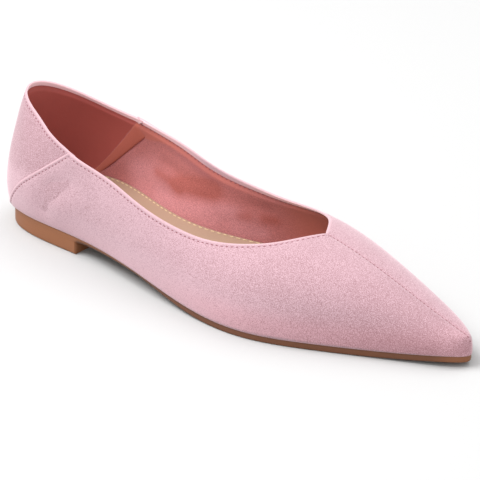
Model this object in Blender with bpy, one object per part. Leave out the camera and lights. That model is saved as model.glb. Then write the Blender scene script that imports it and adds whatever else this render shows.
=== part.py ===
"""Ballet flat, right shoe: pointed toe, V throat, back panel, low block heel.

Metres in the scene, millimetres in the tables. +X runs to the toe, +Y to the wearer's left, +Z up.
"""

import math

import bmesh
import bpy
import numpy as np

# Driving sizes, millimetres
MM = 0.001
WALL = 1.8
GAP = 0.3
HEEL_CENTRE = 34.0
THROAT = 182.6
ARCH_FILL = 0.845
BLEND_START = 45.0
BLEND_END = 140.0
BREAST = 54.5
RIM_HEIGHT = 0.7
STEP_HEIGHT = 0.6
STEP_FADE = 7.0
SEAM_FLOOR = 9.9
SEAM_FOOT = 11.5
SEAM_SLOPE = 0.735
SEAM_BEND = 24.0
SEAM_DIVE = 0.026
SEAM_SOFT = 0.8
SEAM_BACK = 4.0
SEAM_EASE = 30.0
HEEL_INSET = 0.5
HEEL_EDGE = 0.7
TIP_SHARE = 0.05
LENGTH = 263.0
NOSE = 3.0

# The last, one row per section. x is the distance from the back of the heel along the foot.
# right and left are the half widths of the feather line, where the upper meets the sole, feather its height.
# bulge and roll set how far and how low the wall swells above it, swell and crown the upper half of the wall.
# lean_right and lean_left are how far the top of the wall leans in, rise its height above the feather line.
# arch is how far the left wall flares out over the narrow waist of the sole.
COLUMNS = (
    "x", "right", "left", "feather", "bulge", "roll", "swell", "crown",
    "lean_right", "lean_left", "rise", "arch",
)
LAST = {
    "back": (0.0, 0.0, 0.0, 9.0, 7.0, 0.09, 1.3, 0.70, 4.1, 4.1, 55.1, 0.0),
    "quarter": (7.0, 17.3, 17.0, 8.9, 6.9, 0.10, 0.8, 0.70, 8.2, 7.1, 51.8, 0.0),
    "heel": (30.0, 25.5, 25.6, 9.4, 6.3, 0.16, 2.0, 0.70, 5.4, 5.9, 45.8, 0.0),
    "seat": (58.0, 27.7, 21.9, 9.3, 4.5, 0.25, 2.3, 0.70, -0.3, -2.3, 41.8, 5.5),
    "waist": (95.0, 34.6, 17.5, 8.5, 3.6, 0.36, 3.0, 0.80, 3.7, -5.7, 51.0, 11.6),
    "joint": (135.0, 42.2, 30.7, 4.5, 3.3, 0.45, 0.0, 1.00, 13.9, 0.5, 43.5, -2.3),
    "ball": (170.0, 43.4, 32.9, 3.2, 2.8, 0.50, 0.0, 1.00, 14.0, 14.0, 38.4, 0.0),
    "vamp": (203.0, 32.3, 26.2, 3.3, 2.2, 0.55, 0.0, 1.00, 0.0, 0.0, 31.2, 0.0),
    "toe": (236.0, 17.5, 17.3, 4.1, 2.0, 0.55, 0.0, 1.00, 0.0, 0.0, 18.8, 0.0),
    "shoulder": (257.0, 7.2, 7.5, 5.3, 1.4, 0.50, 0.0, 1.00, 0.0, 0.0, 10.4, 0.0),
    "tip": (LENGTH, 0.0, 0.0, 5.2, 0.0, 0.40, 0.0, 0.80, 0.0, 0.0, 8.6, 0.0),
}

# The sole and the insole at the same sections. inset is how far the sole stands inside the feather line,
# tread the height of its underside, pad the thickness of the insole.
SOLE_COLUMNS = ("inset", "tread", "pad")
SOLE = {
    "back": (0.5, 6.4, 5.5),
    "quarter": (0.5, 6.4, 5.5),
    "heel": (0.5, 6.4, 5.2),
    "seat": (0.5, 6.4, 4.6),
    "waist": (1.0, 5.9, 3.2),
    "joint": (0.7, 1.1, 3.0),
    "ball": (0.4, -0.1, 2.8),
    "vamp": (0.4, -0.1, 2.4),
    "toe": (0.4, 0.9, 2.0),
    "shoulder": (0.4, 2.1, 1.8),
    "tip": (0.4, 2.0, 1.8),
}

# The throat: share of each section that stands below the collar, by distance behind the V
THROAT_CUT = {
    0.0: 1.0,
    8.0: 0.832,
    20.0: 0.694,
    36.0: 0.590,
    56.0: 0.507,
    90.0: 0.552,
    135.0: 1.0,
    180.0: 0.552,
}

# Mesh counts
BACK_COLUMNS = 13
SIDE_COLUMNS = 21
TOE_COLUMNS = 20
FRONT_ROWS = 11
BACK_ROWS = 12
RIM_ROWS = 4
SOLE_COLUMNS_COUNT = 50
SOLE_ROWS = 6
HEEL_COLUMNS = 16

# The part's origin: the middle of its box, on the floor, measured from the back of the heel
ORIGIN = np.array([129.89, -5.275, 0.0])

STATIONS = len(LAST)
RIGHT = -1.0
LEFT = 1.0


def column(name):
    """One named column of the two section tables, over the stations."""
    if name in COLUMNS:
        return np.array([row[COLUMNS.index(name)] for row in LAST.values()])
    return np.array([row[SOLE_COLUMNS.index(name)] for row in SOLE.values()])


def spline(knots, values, at):
    """Cubic curve through the rows with continuous curvature."""
    step = np.diff(knots)
    slope = np.diff(values) / step
    count = len(knots)
    matrix = np.eye(count)
    wanted = np.zeros(count)
    for i in range(1, count - 1):
        matrix[i, i - 1] = step[i - 1]
        matrix[i, i] = 2.0 * (step[i - 1] + step[i])
        matrix[i, i + 1] = step[i]
        wanted[i] = 6.0 * (slope[i] - slope[i - 1])
    bend = np.linalg.solve(matrix, wanted)
    at = np.asarray(at, float)
    i = np.clip(np.searchsorted(knots, at) - 1, 0, count - 2)
    a = (knots[i + 1] - at) / step[i]
    b = 1.0 - a
    curve = (a**3 - a) * bend[i] + (b**3 - b) * bend[i + 1]
    return a * values[i] + b * values[i + 1] + curve * step[i] ** 2 / 6.0


def station_knots():
    """Spacing of the sections round the outline, so that the curve through them stays fair."""
    width = (column("right") + column("left")) / 2.0
    chord = np.hypot(np.diff(column("x")), np.diff(width))
    return np.concatenate([[0.0], np.cumsum(np.sqrt(chord))])


KNOTS = station_knots()


def along(name, k, odd=False):
    """A column at any place k between the stations. The ends are mirrored, so the outline closes smoothly."""
    sign = -1.0 if odd else 1.0
    rows = column(name)
    end = KNOTS[-1]
    knots = np.concatenate([-KNOTS[3:0:-1], KNOTS, 2.0 * end - KNOTS[-2:-5:-1]])
    values = np.concatenate([sign * rows[3:0:-1], rows, sign * rows[-2:-5:-1]])
    return spline(knots, values, np.interp(k, np.arange(STATIONS), KNOTS))


def place_of(x):
    """The place k between the stations at a distance x from the back."""
    k = np.linspace(0.0, STATIONS - 1.0, 4001)
    return float(np.interp(x, along("x", k), k))


def throat_share(x):
    """Share of the section that stands below the collar."""
    behind = np.clip(THROAT - x, 0.0, 135.0)
    share = spline(np.array(list(THROAT_CUT)), np.array(list(THROAT_CUT.values())), behind)
    return np.where((behind <= 0.0) | (behind >= 135.0), 1.0, share)


def nose_drop(x):
    """Rounds the ridge down into the blunt front of the toe."""
    reach = np.clip((x - LENGTH + NOSE) / NOSE, 0.0, 1.0)
    return NOSE * (1.0 - np.sqrt(1.0 - reach**2))


def form(side, k, v):
    """Outer surface of the last: k runs from back to tip, v from the feather line to the collar or the ridge."""
    k, v = np.broadcast_arrays(np.asarray(k, float), np.asarray(v, float))
    x = along("x", k)
    y = along("right" if side < 0 else "left", k, odd=True)
    blend = np.clip((x - BLEND_START) / (BLEND_END - BLEND_START), 0.0, 1.0)
    blend = blend**3 * (blend * (6.0 * blend - 15.0) + 10.0)
    lean = along("lean_right" if side < 0 else "lean_left", k)
    lean = (1.0 - blend) * lean + blend * y
    swell = (1.0 - blend) * along("swell", k) - blend * y * (1.0 - ARCH_FILL)
    if side > 0:
        swell = swell + along("arch", k)
    crown = (1.0 - blend) * along("crown", k) + blend
    rise = along("rise", k) - nose_drop(x)
    t = v * throat_share(x)
    low = 3.0 * t * (1.0 - t) ** 2
    high = 3.0 * t**2 * (1.0 - t)
    out = low * along("bulge", k) + high * swell - t**3 * lean
    up = low * along("roll", k) * rise + high * crown * rise + t**3 * rise
    nx = np.minimum(x - HEEL_CENTRE, 0.0)
    ny = np.where(np.hypot(nx, y) < 1e-6, 1.0, y)
    length = np.hypot(nx, ny)
    return np.stack(
        [x + nx / length * out, side * (y + ny / length * out), along("feather", k) + up], -1
    )


def normal(side, k, v):
    """Outward normal of the form."""
    k, v = np.broadcast_arrays(np.asarray(k, float), np.asarray(v, float))
    e = 1e-4
    last = STATIONS - 1.0
    near = np.minimum(k, last - TIP_SHARE)
    dk = form(side, near + e, v) - form(side, np.maximum(near - e, 0.0), v)
    dv = form(side, near, np.minimum(v + e, 1.0)) - form(side, near, np.maximum(v - e, 0.0))
    out = side * np.cross(dv, dk)
    ends = (k < 1e-9) | (k > last - 1e-9)
    out[..., 1] = np.where(ends, 0.0, out[..., 1])
    ridge = (v > 1.0 - 1e-9) & (along("x", k) >= THROAT - 1e-6)
    out[..., 1] = np.where(ridge, 0.0, out[..., 1])
    return out / np.linalg.norm(out, axis=-1, keepdims=True)


def seam_height(point):
    """Height of the back panel's lower edge, seen from the side: it dives to the sole at the back.

    On the left it sits a little further back.
    """
    x = point[..., 0]
    ease = np.clip(x / SEAM_EASE, 0.0, 1.0)
    ease = ease**2 * (3.0 - 2.0 * ease)
    x = x + np.where(point[..., 1] > 0.0, SEAM_BACK * ease, 0.0)
    line = SEAM_FOOT + SEAM_SLOPE * x - SEAM_DIVE * np.maximum(SEAM_BEND - x, 0.0) ** 2
    return SEAM_FLOOR + SEAM_SOFT * np.logaddexp(0.0, (line - SEAM_FLOOR) / SEAM_SOFT)


def seam_share(side, k):
    """Where the back panel's edge crosses each section, as a share of its wall."""
    v = np.linspace(0.0, 1.0, 401)
    found = []
    for place in np.atleast_1d(k):
        wall = form(side, place, v)
        found.append(np.interp(0.0, wall[:, 2] - seam_height(wall), v))
    return np.array(found)


def seam_end(side):
    """The place where the back panel's edge reaches the collar."""
    k = np.linspace(1.5, 4.0, 1001)
    top = form(side, k, 1.0)
    return float(np.interp(0.0, seam_height(top) - top[:, 2], k))


def lift(point):
    """The front panel stands proud of the back panel along the seam, fading forward."""
    tilt = math.cos(math.atan(SEAM_SLOPE))
    ahead = (seam_height(point) - point[..., 2]) * tilt
    return STEP_HEIGHT * np.exp(-((np.maximum(ahead, 0.0) / STEP_FADE) ** 2))


def outer(side, k, v, front=True):
    point = form(side, k, v)
    if not front:
        return point
    return point + normal(side, k, v) * lift(point)[..., None]


def inner(side, k, v):
    return form(side, k, v) - normal(side, k, v) * WALL


def add_patch(mesh, columns, rows, place):
    """A grid of quads laid on the surface that place(column, row) gives, both as shares from 0 to 1."""
    made = bmesh.ops.create_grid(mesh, x_segments=columns, y_segments=rows, size=1.0)["verts"]
    for vert in made:
        across = round((vert.co.x + 1.0) / 2.0 * columns)
        upward = round((vert.co.y + 1.0) / 2.0 * rows)
        vert.co = place(across, upward)


def add_surface(mesh, points):
    """A patch from a function sampled as an array of points: columns, rows, xyz in millimetres."""
    columns, rows = points.shape[0] - 1, points.shape[1] - 1
    add_patch(mesh, columns, rows, lambda i, j: (points[i, j] - ORIGIN) * MM)


def finish(name, mesh, material, collection):
    """Welds the patches into one closed body and links it."""
    bmesh.ops.remove_doubles(mesh, verts=mesh.verts, dist=2e-6)
    bmesh.ops.dissolve_degenerate(mesh, dist=1e-6, edges=mesh.edges)
    bmesh.ops.recalc_face_normals(mesh, faces=mesh.faces)
    data = bpy.data.meshes.new(name)
    mesh.to_mesh(data)
    mesh.free()
    for face in data.polygons:
        face.use_smooth = True
    data.materials.append(material)
    made = bpy.data.objects.new(name, data)
    collection.objects.link(made)
    return made


def side_places(side):
    """Columns of one side: to the seam's end, to the throat and to the tip, closer together at both ends."""
    seam = seam_end(side)
    throat = place_of(THROAT)
    tip = STATIONS - 1.0
    back = np.linspace(0.0, seam, BACK_COLUMNS + 1)
    middle = np.linspace(seam, throat, SIDE_COLUMNS + 1)[1:]
    toe = tip - (tip - throat) * (1.0 - np.linspace(0.0, 1.0, TOE_COLUMNS + 1)[1:]) ** 1.35
    return np.concatenate([back, middle, toe])


def collar_edge(side, k):
    """Outer and inner collar edge with the direction that the rim's round takes."""
    seam = seam_end(side)
    on_front = k >= seam - 1e-9
    front_edge = outer(side, k, 1.0)
    back_edge = outer(side, k, 1.0, front=False)
    edge = np.where(on_front[:, None], front_edge, back_edge)
    within = inner(side, k, 1.0)
    course = np.gradient(form(side, k, 1.0), axis=0)
    rise = np.cross(normal(side, k, 1.0), course) * -side
    rise /= np.linalg.norm(rise, axis=1, keepdims=True)
    rise[-1] = (-1.0, 0.0, 0.0)
    rise[0, 1] = 0.0
    return edge, within, rise


def rim_points(edge, within, rise):
    """A half round from the outer to the inner edge."""
    turn = np.linspace(0.0, math.pi, RIM_ROWS + 1)
    middle = (edge + within) / 2.0
    reach = edge - middle
    rows = [middle + reach * math.cos(a) + rise * RIM_HEIGHT * math.sin(a) for a in turn[1:-1]]
    return np.stack([edge] + rows + [within], axis=1)


def build_upper(material, collection):
    """One hollow wall, open at the collar and underneath, with a step where the back panel starts."""
    mesh = bmesh.new()
    rows = np.linspace(0.0, 1.0, FRONT_ROWS + 1)
    for side in (RIGHT, LEFT):
        k = side_places(side)
        seam = seam_end(side)
        back = k[: BACK_COLUMNS + 1]
        throat = BACK_COLUMNS + SIDE_COLUMNS
        top = np.ones(len(k))
        top[:BACK_COLUMNS] = seam_share(side, back[:-1])
        place, share = np.broadcast_arrays(k[:, None], top[:, None] * rows[None, :])
        add_surface(mesh, outer(side, place, share))
        add_surface(mesh, inner(side, place, share))
        # Back panel, its first row being the step down from the front panel
        low = top[: BACK_COLUMNS + 1]
        climb = np.linspace(0.0, 1.0, BACK_ROWS + 1)
        place, share = np.broadcast_arrays(back[:, None], low[:, None] + (1.0 - low[:, None]) * climb)
        panel = outer(side, place, share, front=False)
        step = outer(side, back, low)[:, None]
        add_surface(mesh, np.concatenate([step, panel], axis=1))
        add_surface(mesh, inner(side, place, share))
        # Collar rim from the back to the V, with the jog at the seam, then the edge underneath
        edge, within, rise = collar_edge(side, k[: throat + 1])
        rim = rim_points(edge, within, rise)
        panel_edge = outer(side, np.array([seam]), 1.0, front=False)
        jog = slice(BACK_COLUMNS, BACK_COLUMNS + 1)
        lower = rim_points(panel_edge, within[jog], rise[jog])
        add_surface(mesh, np.concatenate([rim[:BACK_COLUMNS], lower]))
        add_surface(mesh, np.concatenate([lower, rim[jog]]))
        add_surface(mesh, rim[BACK_COLUMNS:])
        add_surface(mesh, np.stack([outer(side, k, 0.0), inner(side, k, 0.0)], axis=1))
    return finish("upper", mesh, material, collection)


def edge_line(side, k, inset):
    """The feather line in plan, brought in by inset along its own normal."""
    name = "right" if side < 0 else "left"
    e = 1e-4
    last = STATIONS - 1.0
    ahead, behind = np.minimum(k + e, last), np.maximum(k - e, 0.0)
    dx = along("x", ahead) - along("x", behind)
    dy = along(name, ahead, odd=True) - along(name, behind, odd=True)
    dx = np.where((k <= 0.0) | (k >= last), 0.0, dx)
    length = np.hypot(dx, dy)
    x = along("x", k) + dy / length * inset
    y = np.maximum(along(name, k, odd=True) - dx / length * inset, 0.0)
    return x, side * y


def plate(mesh, k, edges):
    """A closed sheet from rows of edge points: the first row bounds the underside, the last the top."""
    across = np.linspace(0.0, 1.0, SOLE_ROWS + 1)[None, :, None]
    for row in (edges[0], edges[-1]):
        right, left = row
        add_surface(mesh, right[:, None] * (1.0 - across) + left[:, None] * across)
    for place in (0, 1):
        add_surface(mesh, np.stack([row[place] for row in edges], axis=1))
    if abs(edges[0][0][-1][1] - edges[0][1][-1][1]) > 1e-6:
        front = [row[0][-1] * (1.0 - across[0]) + row[1][-1] * across[0] for row in edges]
        add_surface(mesh, np.stack(front, axis=1))


def edge_rows(k, insets, heights):
    """Right and left edge points for each pair of inset and height."""
    rows = []
    for inset, height in zip(insets, heights):
        pair = []
        for side in (RIGHT, LEFT):
            x, y = edge_line(side, k, inset)
            pair.append(np.stack([x, y, height], axis=1))
        rows.append(pair)
    return rows


def end_spaced(first, last, count):
    """Places closer together towards both ends of the outline."""
    share = (1.0 - np.cos(np.linspace(0.0, math.pi, count + 1))) / 2.0
    even = np.linspace(0.0, 1.0, count + 1)
    return first + (last - first) * (0.45 * share + 0.55 * even)


def tread(k):
    """Underside of the sole, with its flat spot at the ball."""
    return np.maximum(along("tread", k), 0.0)


def build_outsole(material, collection):
    """A thin sheet from the heel seat over the arch to the toe spring."""
    mesh = bmesh.new()
    k = end_spaced(0.0, STATIONS - 1.0, SOLE_COLUMNS_COUNT)
    inset = along("inset", k)
    top = along("feather", k) - GAP
    bottom = tread(k)
    rows = edge_rows(k, (inset + 0.5, inset, inset), (bottom, bottom + 0.5, top))
    plate(mesh, k, rows)
    return finish("outsole", mesh, material, collection)


def build_heel(material, collection):
    """A low block under the seat, rounded behind, straight across the breast."""
    mesh = bmesh.new()
    k = end_spaced(0.0, place_of(BREAST), HEEL_COLUMNS)
    inset = along("inset", k) + HEEL_INSET
    top = tread(k) - GAP
    floor = np.zeros(len(k))
    rows = edge_rows(k, (inset + HEEL_EDGE, inset, inset), (floor, floor + HEEL_EDGE, top))
    plate(mesh, k, rows)
    return finish("heel", mesh, material, collection)


def wall_inset(side, k, height):
    """How far the inside of the wall stands in from the feather line at a height above it."""
    v = np.linspace(0.0, 0.6, 121)
    found = []
    for place, wanted in zip(k, height):
        wall = inner(side, place, v)
        reach = np.interp(along("feather", place) + wanted, wall[:, 2], np.arange(len(v)))
        point = [np.interp(reach, np.arange(len(v)), wall[:, axis]) for axis in range(2)]
        x, y = edge_line(side, np.array([place]), 0.0)
        start = np.array([x[0], y[0]])
        x, y = edge_line(side, np.array([place]), 1.0)
        inward = np.array([x[0], y[0]]) - start
        found.append(float(np.dot(np.array(point) - start, inward)))
    return np.array(found)


def build_insole(material, collection):
    """The footbed, fitted to the inside of the wall."""
    mesh = bmesh.new()
    k = end_spaced(0.0, STATIONS - 1.0, SOLE_COLUMNS_COUNT)
    pad = along("pad", k)
    base = along("feather", k)
    rows = []
    for share, edge in ((0.0, 0.0), (0.34, 0.0), (0.85, 0.0), (1.0, 0.5)):
        pair = []
        for side in (RIGHT, LEFT):
            height = pad * share if share > 0.5 else 0.0 * pad
            fit = np.maximum(wall_inset(side, k, height), wall_inset(side, k, pad))
            x, y = edge_line(side, k, fit + GAP + 0.32 + edge)
            pair.append(np.stack([x, y, base + pad * share], axis=1))
        rows.append(pair)
    plate(mesh, k, rows)
    return finish("insole", mesh, material, collection)


def make_material(name, colour, roughness):
    material = bpy.data.materials.new(name)
    material.use_nodes = True
    shader = material.node_tree.nodes["Principled BSDF"]
    shader.inputs["Base Color"].default_value = (*colour, 1.0)
    shader.inputs["Roughness"].default_value = roughness
    shader.inputs["Metallic"].default_value = 0.0
    material.diffuse_color = (*colour, 1.0)
    return material


def main():
    for old in list(bpy.data.objects):
        bpy.data.objects.remove(old, do_unlink=True)
    collection = bpy.data.collections.new("ballet_flat")
    bpy.context.scene.collection.children.link(collection)
    build_upper(make_material("suede", (0.77, 0.48, 0.56), 0.9), collection)
    build_insole(make_material("insole_lining", (0.58, 0.36, 0.21), 0.7), collection)
    build_outsole(make_material("sole_rubber", (0.22, 0.11, 0.055), 0.6), collection)
    build_heel(make_material("heel_block", (0.38, 0.16, 0.075), 0.5), collection)


if __name__ == "__main__":
    main()
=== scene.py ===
"""Looks of a pointed ballet flat: suede panels, linings, stitching, footbed, sole, heel and a small studio.

Sizes in the tables are millimetres in the shoe's own frame: x from the back of the heel, y left, z up.
A pair of values named run, climb or fade says where a tone or a form starts and where it is complete.
"""

import functools
import math

import bmesh
import bpy
import numpy as np
from mathutils import Matrix, Vector


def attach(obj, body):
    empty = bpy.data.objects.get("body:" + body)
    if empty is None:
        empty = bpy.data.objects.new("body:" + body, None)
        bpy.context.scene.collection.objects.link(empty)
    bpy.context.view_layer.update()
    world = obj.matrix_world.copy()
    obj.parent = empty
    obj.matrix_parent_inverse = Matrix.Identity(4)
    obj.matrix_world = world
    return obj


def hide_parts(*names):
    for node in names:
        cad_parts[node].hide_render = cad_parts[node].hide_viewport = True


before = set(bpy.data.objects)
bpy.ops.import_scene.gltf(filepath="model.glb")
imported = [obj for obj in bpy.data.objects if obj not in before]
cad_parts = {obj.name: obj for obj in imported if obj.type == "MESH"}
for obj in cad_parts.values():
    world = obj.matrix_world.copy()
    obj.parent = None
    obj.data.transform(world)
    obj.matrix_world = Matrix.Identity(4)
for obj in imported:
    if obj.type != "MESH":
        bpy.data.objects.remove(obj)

bl_info = {
    "name": "Ballet flat",
    "version": (1, 0, 0),
    "blender": (4, 5, 0),
    "location": "View3D > Sidebar > Ballet flat",
    "description": "Dresses a pointed ballet flat with suede, linings, stitches, footbed, sole and heel",
    "category": "Object",
}

# The last and its sole, as in the solids
MM = 0.001
ORIGIN = np.array([129.89, -5.275, 0.0])
WALL = 1.8
HEEL_CENTRE = 34.0
THROAT = 182.6
THROAT_REACH = 135.0
ARCH_FILL = 0.845
BLEND_START = 45.0
BLEND_END = 140.0
BREAST = 54.5
STEP_HEIGHT = 0.6
STEP_FADE = 7.0
SEAM_FLOOR = 9.9
SEAM_FOOT = 11.5
SEAM_SLOPE = 0.735
SEAM_BEND = 24.0
SEAM_DIVE = 0.026
SEAM_SOFT = 0.8
SEAM_BACK = 4.0
SEAM_EASE = 30.0
TIP_SHARE = 0.05
LENGTH = 263.0
NOSE = 3.0
COLUMNS = (
    "x", "right", "left", "feather", "bulge", "roll", "swell", "crown",
    "lean_right", "lean_left", "rise", "arch",
)
LAST = {
    "back": (0.0, 0.0, 0.0, 9.0, 7.0, 0.09, 1.3, 0.70, 4.1, 4.1, 55.1, 0.0),
    "quarter": (7.0, 17.3, 17.0, 8.9, 6.9, 0.10, 0.8, 0.70, 8.2, 7.1, 51.8, 0.0),
    "heel": (30.0, 25.5, 25.6, 9.4, 6.3, 0.16, 2.0, 0.70, 5.4, 5.9, 45.8, 0.0),
    "seat": (58.0, 27.7, 21.9, 9.3, 4.5, 0.25, 2.3, 0.70, -0.3, -2.3, 41.8, 5.5),
    "waist": (95.0, 34.6, 17.5, 8.5, 3.6, 0.36, 3.0, 0.80, 3.7, -5.7, 51.0, 11.6),
    "joint": (135.0, 42.2, 30.7, 4.5, 3.3, 0.45, 0.0, 1.00, 13.9, 0.5, 43.5, -2.3),
    "ball": (170.0, 43.4, 32.9, 3.2, 2.8, 0.50, 0.0, 1.00, 14.0, 14.0, 38.4, 0.0),
    "vamp": (203.0, 32.3, 26.2, 3.3, 2.2, 0.55, 0.0, 1.00, 0.0, 0.0, 31.2, 0.0),
    "toe": (236.0, 17.5, 17.3, 4.1, 2.0, 0.55, 0.0, 1.00, 0.0, 0.0, 18.8, 0.0),
    "shoulder": (257.0, 7.2, 7.5, 5.3, 1.4, 0.50, 0.0, 1.00, 0.0, 0.0, 10.4, 0.0),
    "tip": (LENGTH, 0.0, 0.0, 5.2, 0.0, 0.40, 0.0, 0.80, 0.0, 0.0, 8.6, 0.0),
}
SOLE_COLUMNS = ("inset", "tread", "pad")
SOLE = {
    "back": (0.5, 6.4, 5.5),
    "quarter": (0.5, 6.4, 5.5),
    "heel": (0.5, 6.4, 5.2),
    "seat": (0.5, 6.4, 4.6),
    "waist": (1.0, 5.9, 3.2),
    "joint": (0.7, 1.1, 3.0),
    "ball": (0.4, -0.1, 2.8),
    "vamp": (0.4, -0.1, 2.4),
    "toe": (0.4, 0.9, 2.0),
    "shoulder": (0.4, 2.1, 1.8),
    "tip": (0.4, 2.0, 1.8),
}
THROAT_CUT = {
    0.0: 1.0,
    8.0: 0.832,
    20.0: 0.694,
    36.0: 0.590,
    56.0: 0.507,
    90.0: 0.552,
    135.0: 1.0,
    180.0: 0.552,
}
STATIONS = len(LAST)
TIP = STATIONS - 1.0
RIGHT = -1.0
LEFT = 1.0

# Creases of the suede: start and end on the surface, half width and height, all in millimetres.
# A height below zero is a trough, above zero a ridge.
CREASES = {
    "quarter_fold": ((54.0, -29.3, 36.5), (43.0, -29.2, 30.0), 5.0, -0.6),
    "quarter_drop": ((43.0, -29.2, 30.0), (37.5, -29.0, 19.0), 4.5, -0.55),
    "quarter_puff": ((31.0, -28.4, 28.0), (27.0, -28.0, 20.0), 5.0, 0.35),
    "seat_puff": ((48.0, -29.8, 22.0), (60.0, -30.2, 28.0), 6.0, 0.4),
    "far_fold": ((55.0, 29.0, 36.0), (42.0, 28.8, 24.0), 5.5, -0.6),
    "counter_left": ((8.0, 14.0, 44.0), (17.0, 21.0, 30.0), 7.0, -0.4),
    "counter_right": ((9.0, -16.0, 46.0), (17.0, -22.0, 33.0), 7.0, -0.4),
}

# Sewn details of the suede: half widths, heights and depths, and the strength of the painted shade that they
# leave
COLLAR_ROW_WIDTH = 0.45
COLLAR_ROW_DEPTH = 0.22
COLLAR_FOLD_WIDTH = 0.65
SEAM_ROW_WIDTH = 0.4
SEAM_ROW_DEPTH = 0.20
SEAM_LIP_WIDTH = 0.7
SEAM_LIP_HEIGHT = 0.10
SEAM_FOLD_WIDTH = 0.5
ROW_MARK = 0.5
GROOVE_WIDTH = 0.8
GROOVE_MARK_WIDTH = 0.35
GROOVE_MARK = 0.9
GROOVE_START = (THROAT - 0.5, THROAT + 1.5)
GROOVE_END = (LENGTH, LENGTH - 3.0)
FAR_ROW_END = (THROAT - 10.0, THROAT - 18.0)
PANEL_LAP = 3.0
PANEL_TUCK = 0.75
PANEL_TUCK_RUN = (-0.2, 0.8)
PANEL_BACK_GAP = 0.3
CORNER_TURN = 0.10
TURNED_WIDTH = 3.0
TURNED_MARK = 0.1
TURNED_CLIMB = (0.5, 0.75)
# Painted highlight on the turned edge: full along the collar, least round this place at the waist
HIGHLIGHT_DIP_X = 98.0
HIGHLIGHT_DIP_WIDTH = 28.0
FAR_AWAY = 50.0

# Nap of the suede together with painted light and shade: above zero paler, below zero deeper. Partly the nap
# raised or stroked down, partly painted light on the back panel's foot, the quarter and the foot, and
# painted shade on the back panel's top and the toe's outer side
BACK_RAISED_AND_LIT = 0.43
BACK_STROKED_AND_SHADED = 0.64
BACK_CLIMB = (24.0, 38.0)
QUARTER_RAISED_AND_LIT = 0.23
QUARTER_RUN = (180.0, 95.0)
FOOT_RAISED_AND_LIT = 0.31
FOOT_CLIMB = (26.0, 12.0)
FOOT_RUN = (210.0, 160.0)
TOE_STROKED_AND_SHADED = 0.22
TOE_RUN = (200.0, 235.0)
TIP_SPARED = 0.7
TIP_RUN = (248.0, 258.0)

# Painted shade: the suede made redder low on the wall, where it lies in shade; how its colour is multiplied,
# and where
PAINTED_SHADE_TINT = (1.12, 1.0, 1.0)
WARM_CLIMB = (20.0, 8.0)
WARM_RUN = (110.0, 170.0)
WARM_BACK = 0.4

# The lining's own seam behind the quarter, from the side: x and z of the tape's rear and front edge
TAPE_REAR = ((16.0, 11.6), (49.3, 49.7))
TAPE_FRONT = ((19.5, 11.9), (57.5, 46.2))
TAPE_SEAT = 0.02
TAPE_LIFT = 0.43
TAPE_FADE_START = (1.6, 4.4)
TAPE_FADE_LENGTH = (2.5, 3.5)
TAPE_BACK_GAP = 0.05

# Soft folds of the lining: start and end, half width and height, all in millimetres
LINING_FOLDS = {
    "front_trough": ((25.0, 27.0, 17.5), (51.0, 25.0, 41.0), 1.5, -0.55),
    "long_ridge": ((62.0, 22.5, 25.0), (122.0, 24.0, 19.5), 4.5, 0.4),
    "long_trough": ((66.0, 23.0, 32.0), (128.0, 26.5, 25.5), 3.0, -0.45),
    "short_trough": ((70.0, 22.0, 19.0), (96.0, 17.5, 24.0), 3.5, -0.35),
}

# Paler and deeper places of the lining, partly its brushed nap and partly painted light and shade: start and
# end, half width in millimetres and tone.
# A tone above zero is paler, below zero deeper.
LINING_TONES = {
    "pale_rear": ((42.0, 26.5, 24.0), (58.0, 25.0, 31.0), 6.0, 0.25),
    "pale_floor": ((66.0, 20.5, 17.0), (100.0, 18.5, 17.5), 5.0, 0.3),
    "deep_streak": ((61.0, 23.8, 26.5), (78.0, 20.2, 24.5), 2.6, -0.55),
    "deep_middle": ((78.0, 20.2, 25.0), (98.0, 19.7, 29.5), 5.5, -0.7),
    "pale_front": ((105.0, 20.0, 22.0), (110.0, 21.3, 22.0), 4.0, 0.35),
    "deep_dot": ((113.0, 22.3, 19.5), (117.0, 23.3, 20.0), 2.5, -0.4),
    "pale_low": ((112.0, 22.0, 14.5), (124.0, 25.6, 13.5), 3.5, 0.45),
    "deep_front": ((125.0, 26.0, 20.0), (130.0, 27.5, 20.5), 3.0, -0.4),
}

# The lining's sheets: its gap below the collar, thicknesses, and the painted shade at its edge, along its
# stitch rows and in a band below the collar
LINING_GAP = 1.8
LINING_PRESS = 1.5
LINING_SKIN = 0.15
LINING_BACK_GAP = 0.03
LINING_ROLL = 0.08
LINING_EDGE_WIDTH = 0.35
LINING_EDGE_SHADE = 0.9
LINING_ROW_DROP = 1.9
LINING_ROW_WIDTH = 0.6
LINING_ROW_DEPTH = 0.15
LINING_ROW_MARK = 0.35
TROUGH_SHADE = 0.8
COLLAR_SHADE_MIDDLE = 88.0
COLLAR_SHADE_WIDTH = 18.0
COLLAR_SHADE_FADE = (9.0, 5.0)
COLLAR_SHADE_MARK = 0.8
COUNTER_LAP = 4.0
COUNTER_RAISED = -0.12
FOREPART_START = 12.0
FOREPART_END = LENGTH - 9.0
THROAT_EASE = 0.05

# Painted light on the lining, partly its brushed nap: its lower wall painted paler, and the band of smooth
# tape colour below its collar and under the vamp
BRUSH_AND_LIGHT_WALL = 0.36
BRUSH_AND_LIGHT_FOOT = 0.42
BRUSH_CLIMB = (0.62, 0.37)
BRUSH_START = (36.0, 50.0)
BRUSH_END = (140.0, 108.0)
BAND_WIDTH = 5.4
BAND_SWELL = 4.5
BAND_MIDDLE = 51.0
BAND_SPREAD = 10.0
BAND_FADE = 1.8
BAND_RUN = (145.0, 85.0)
BAND_VAMP = (128.0, 152.0)

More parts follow.
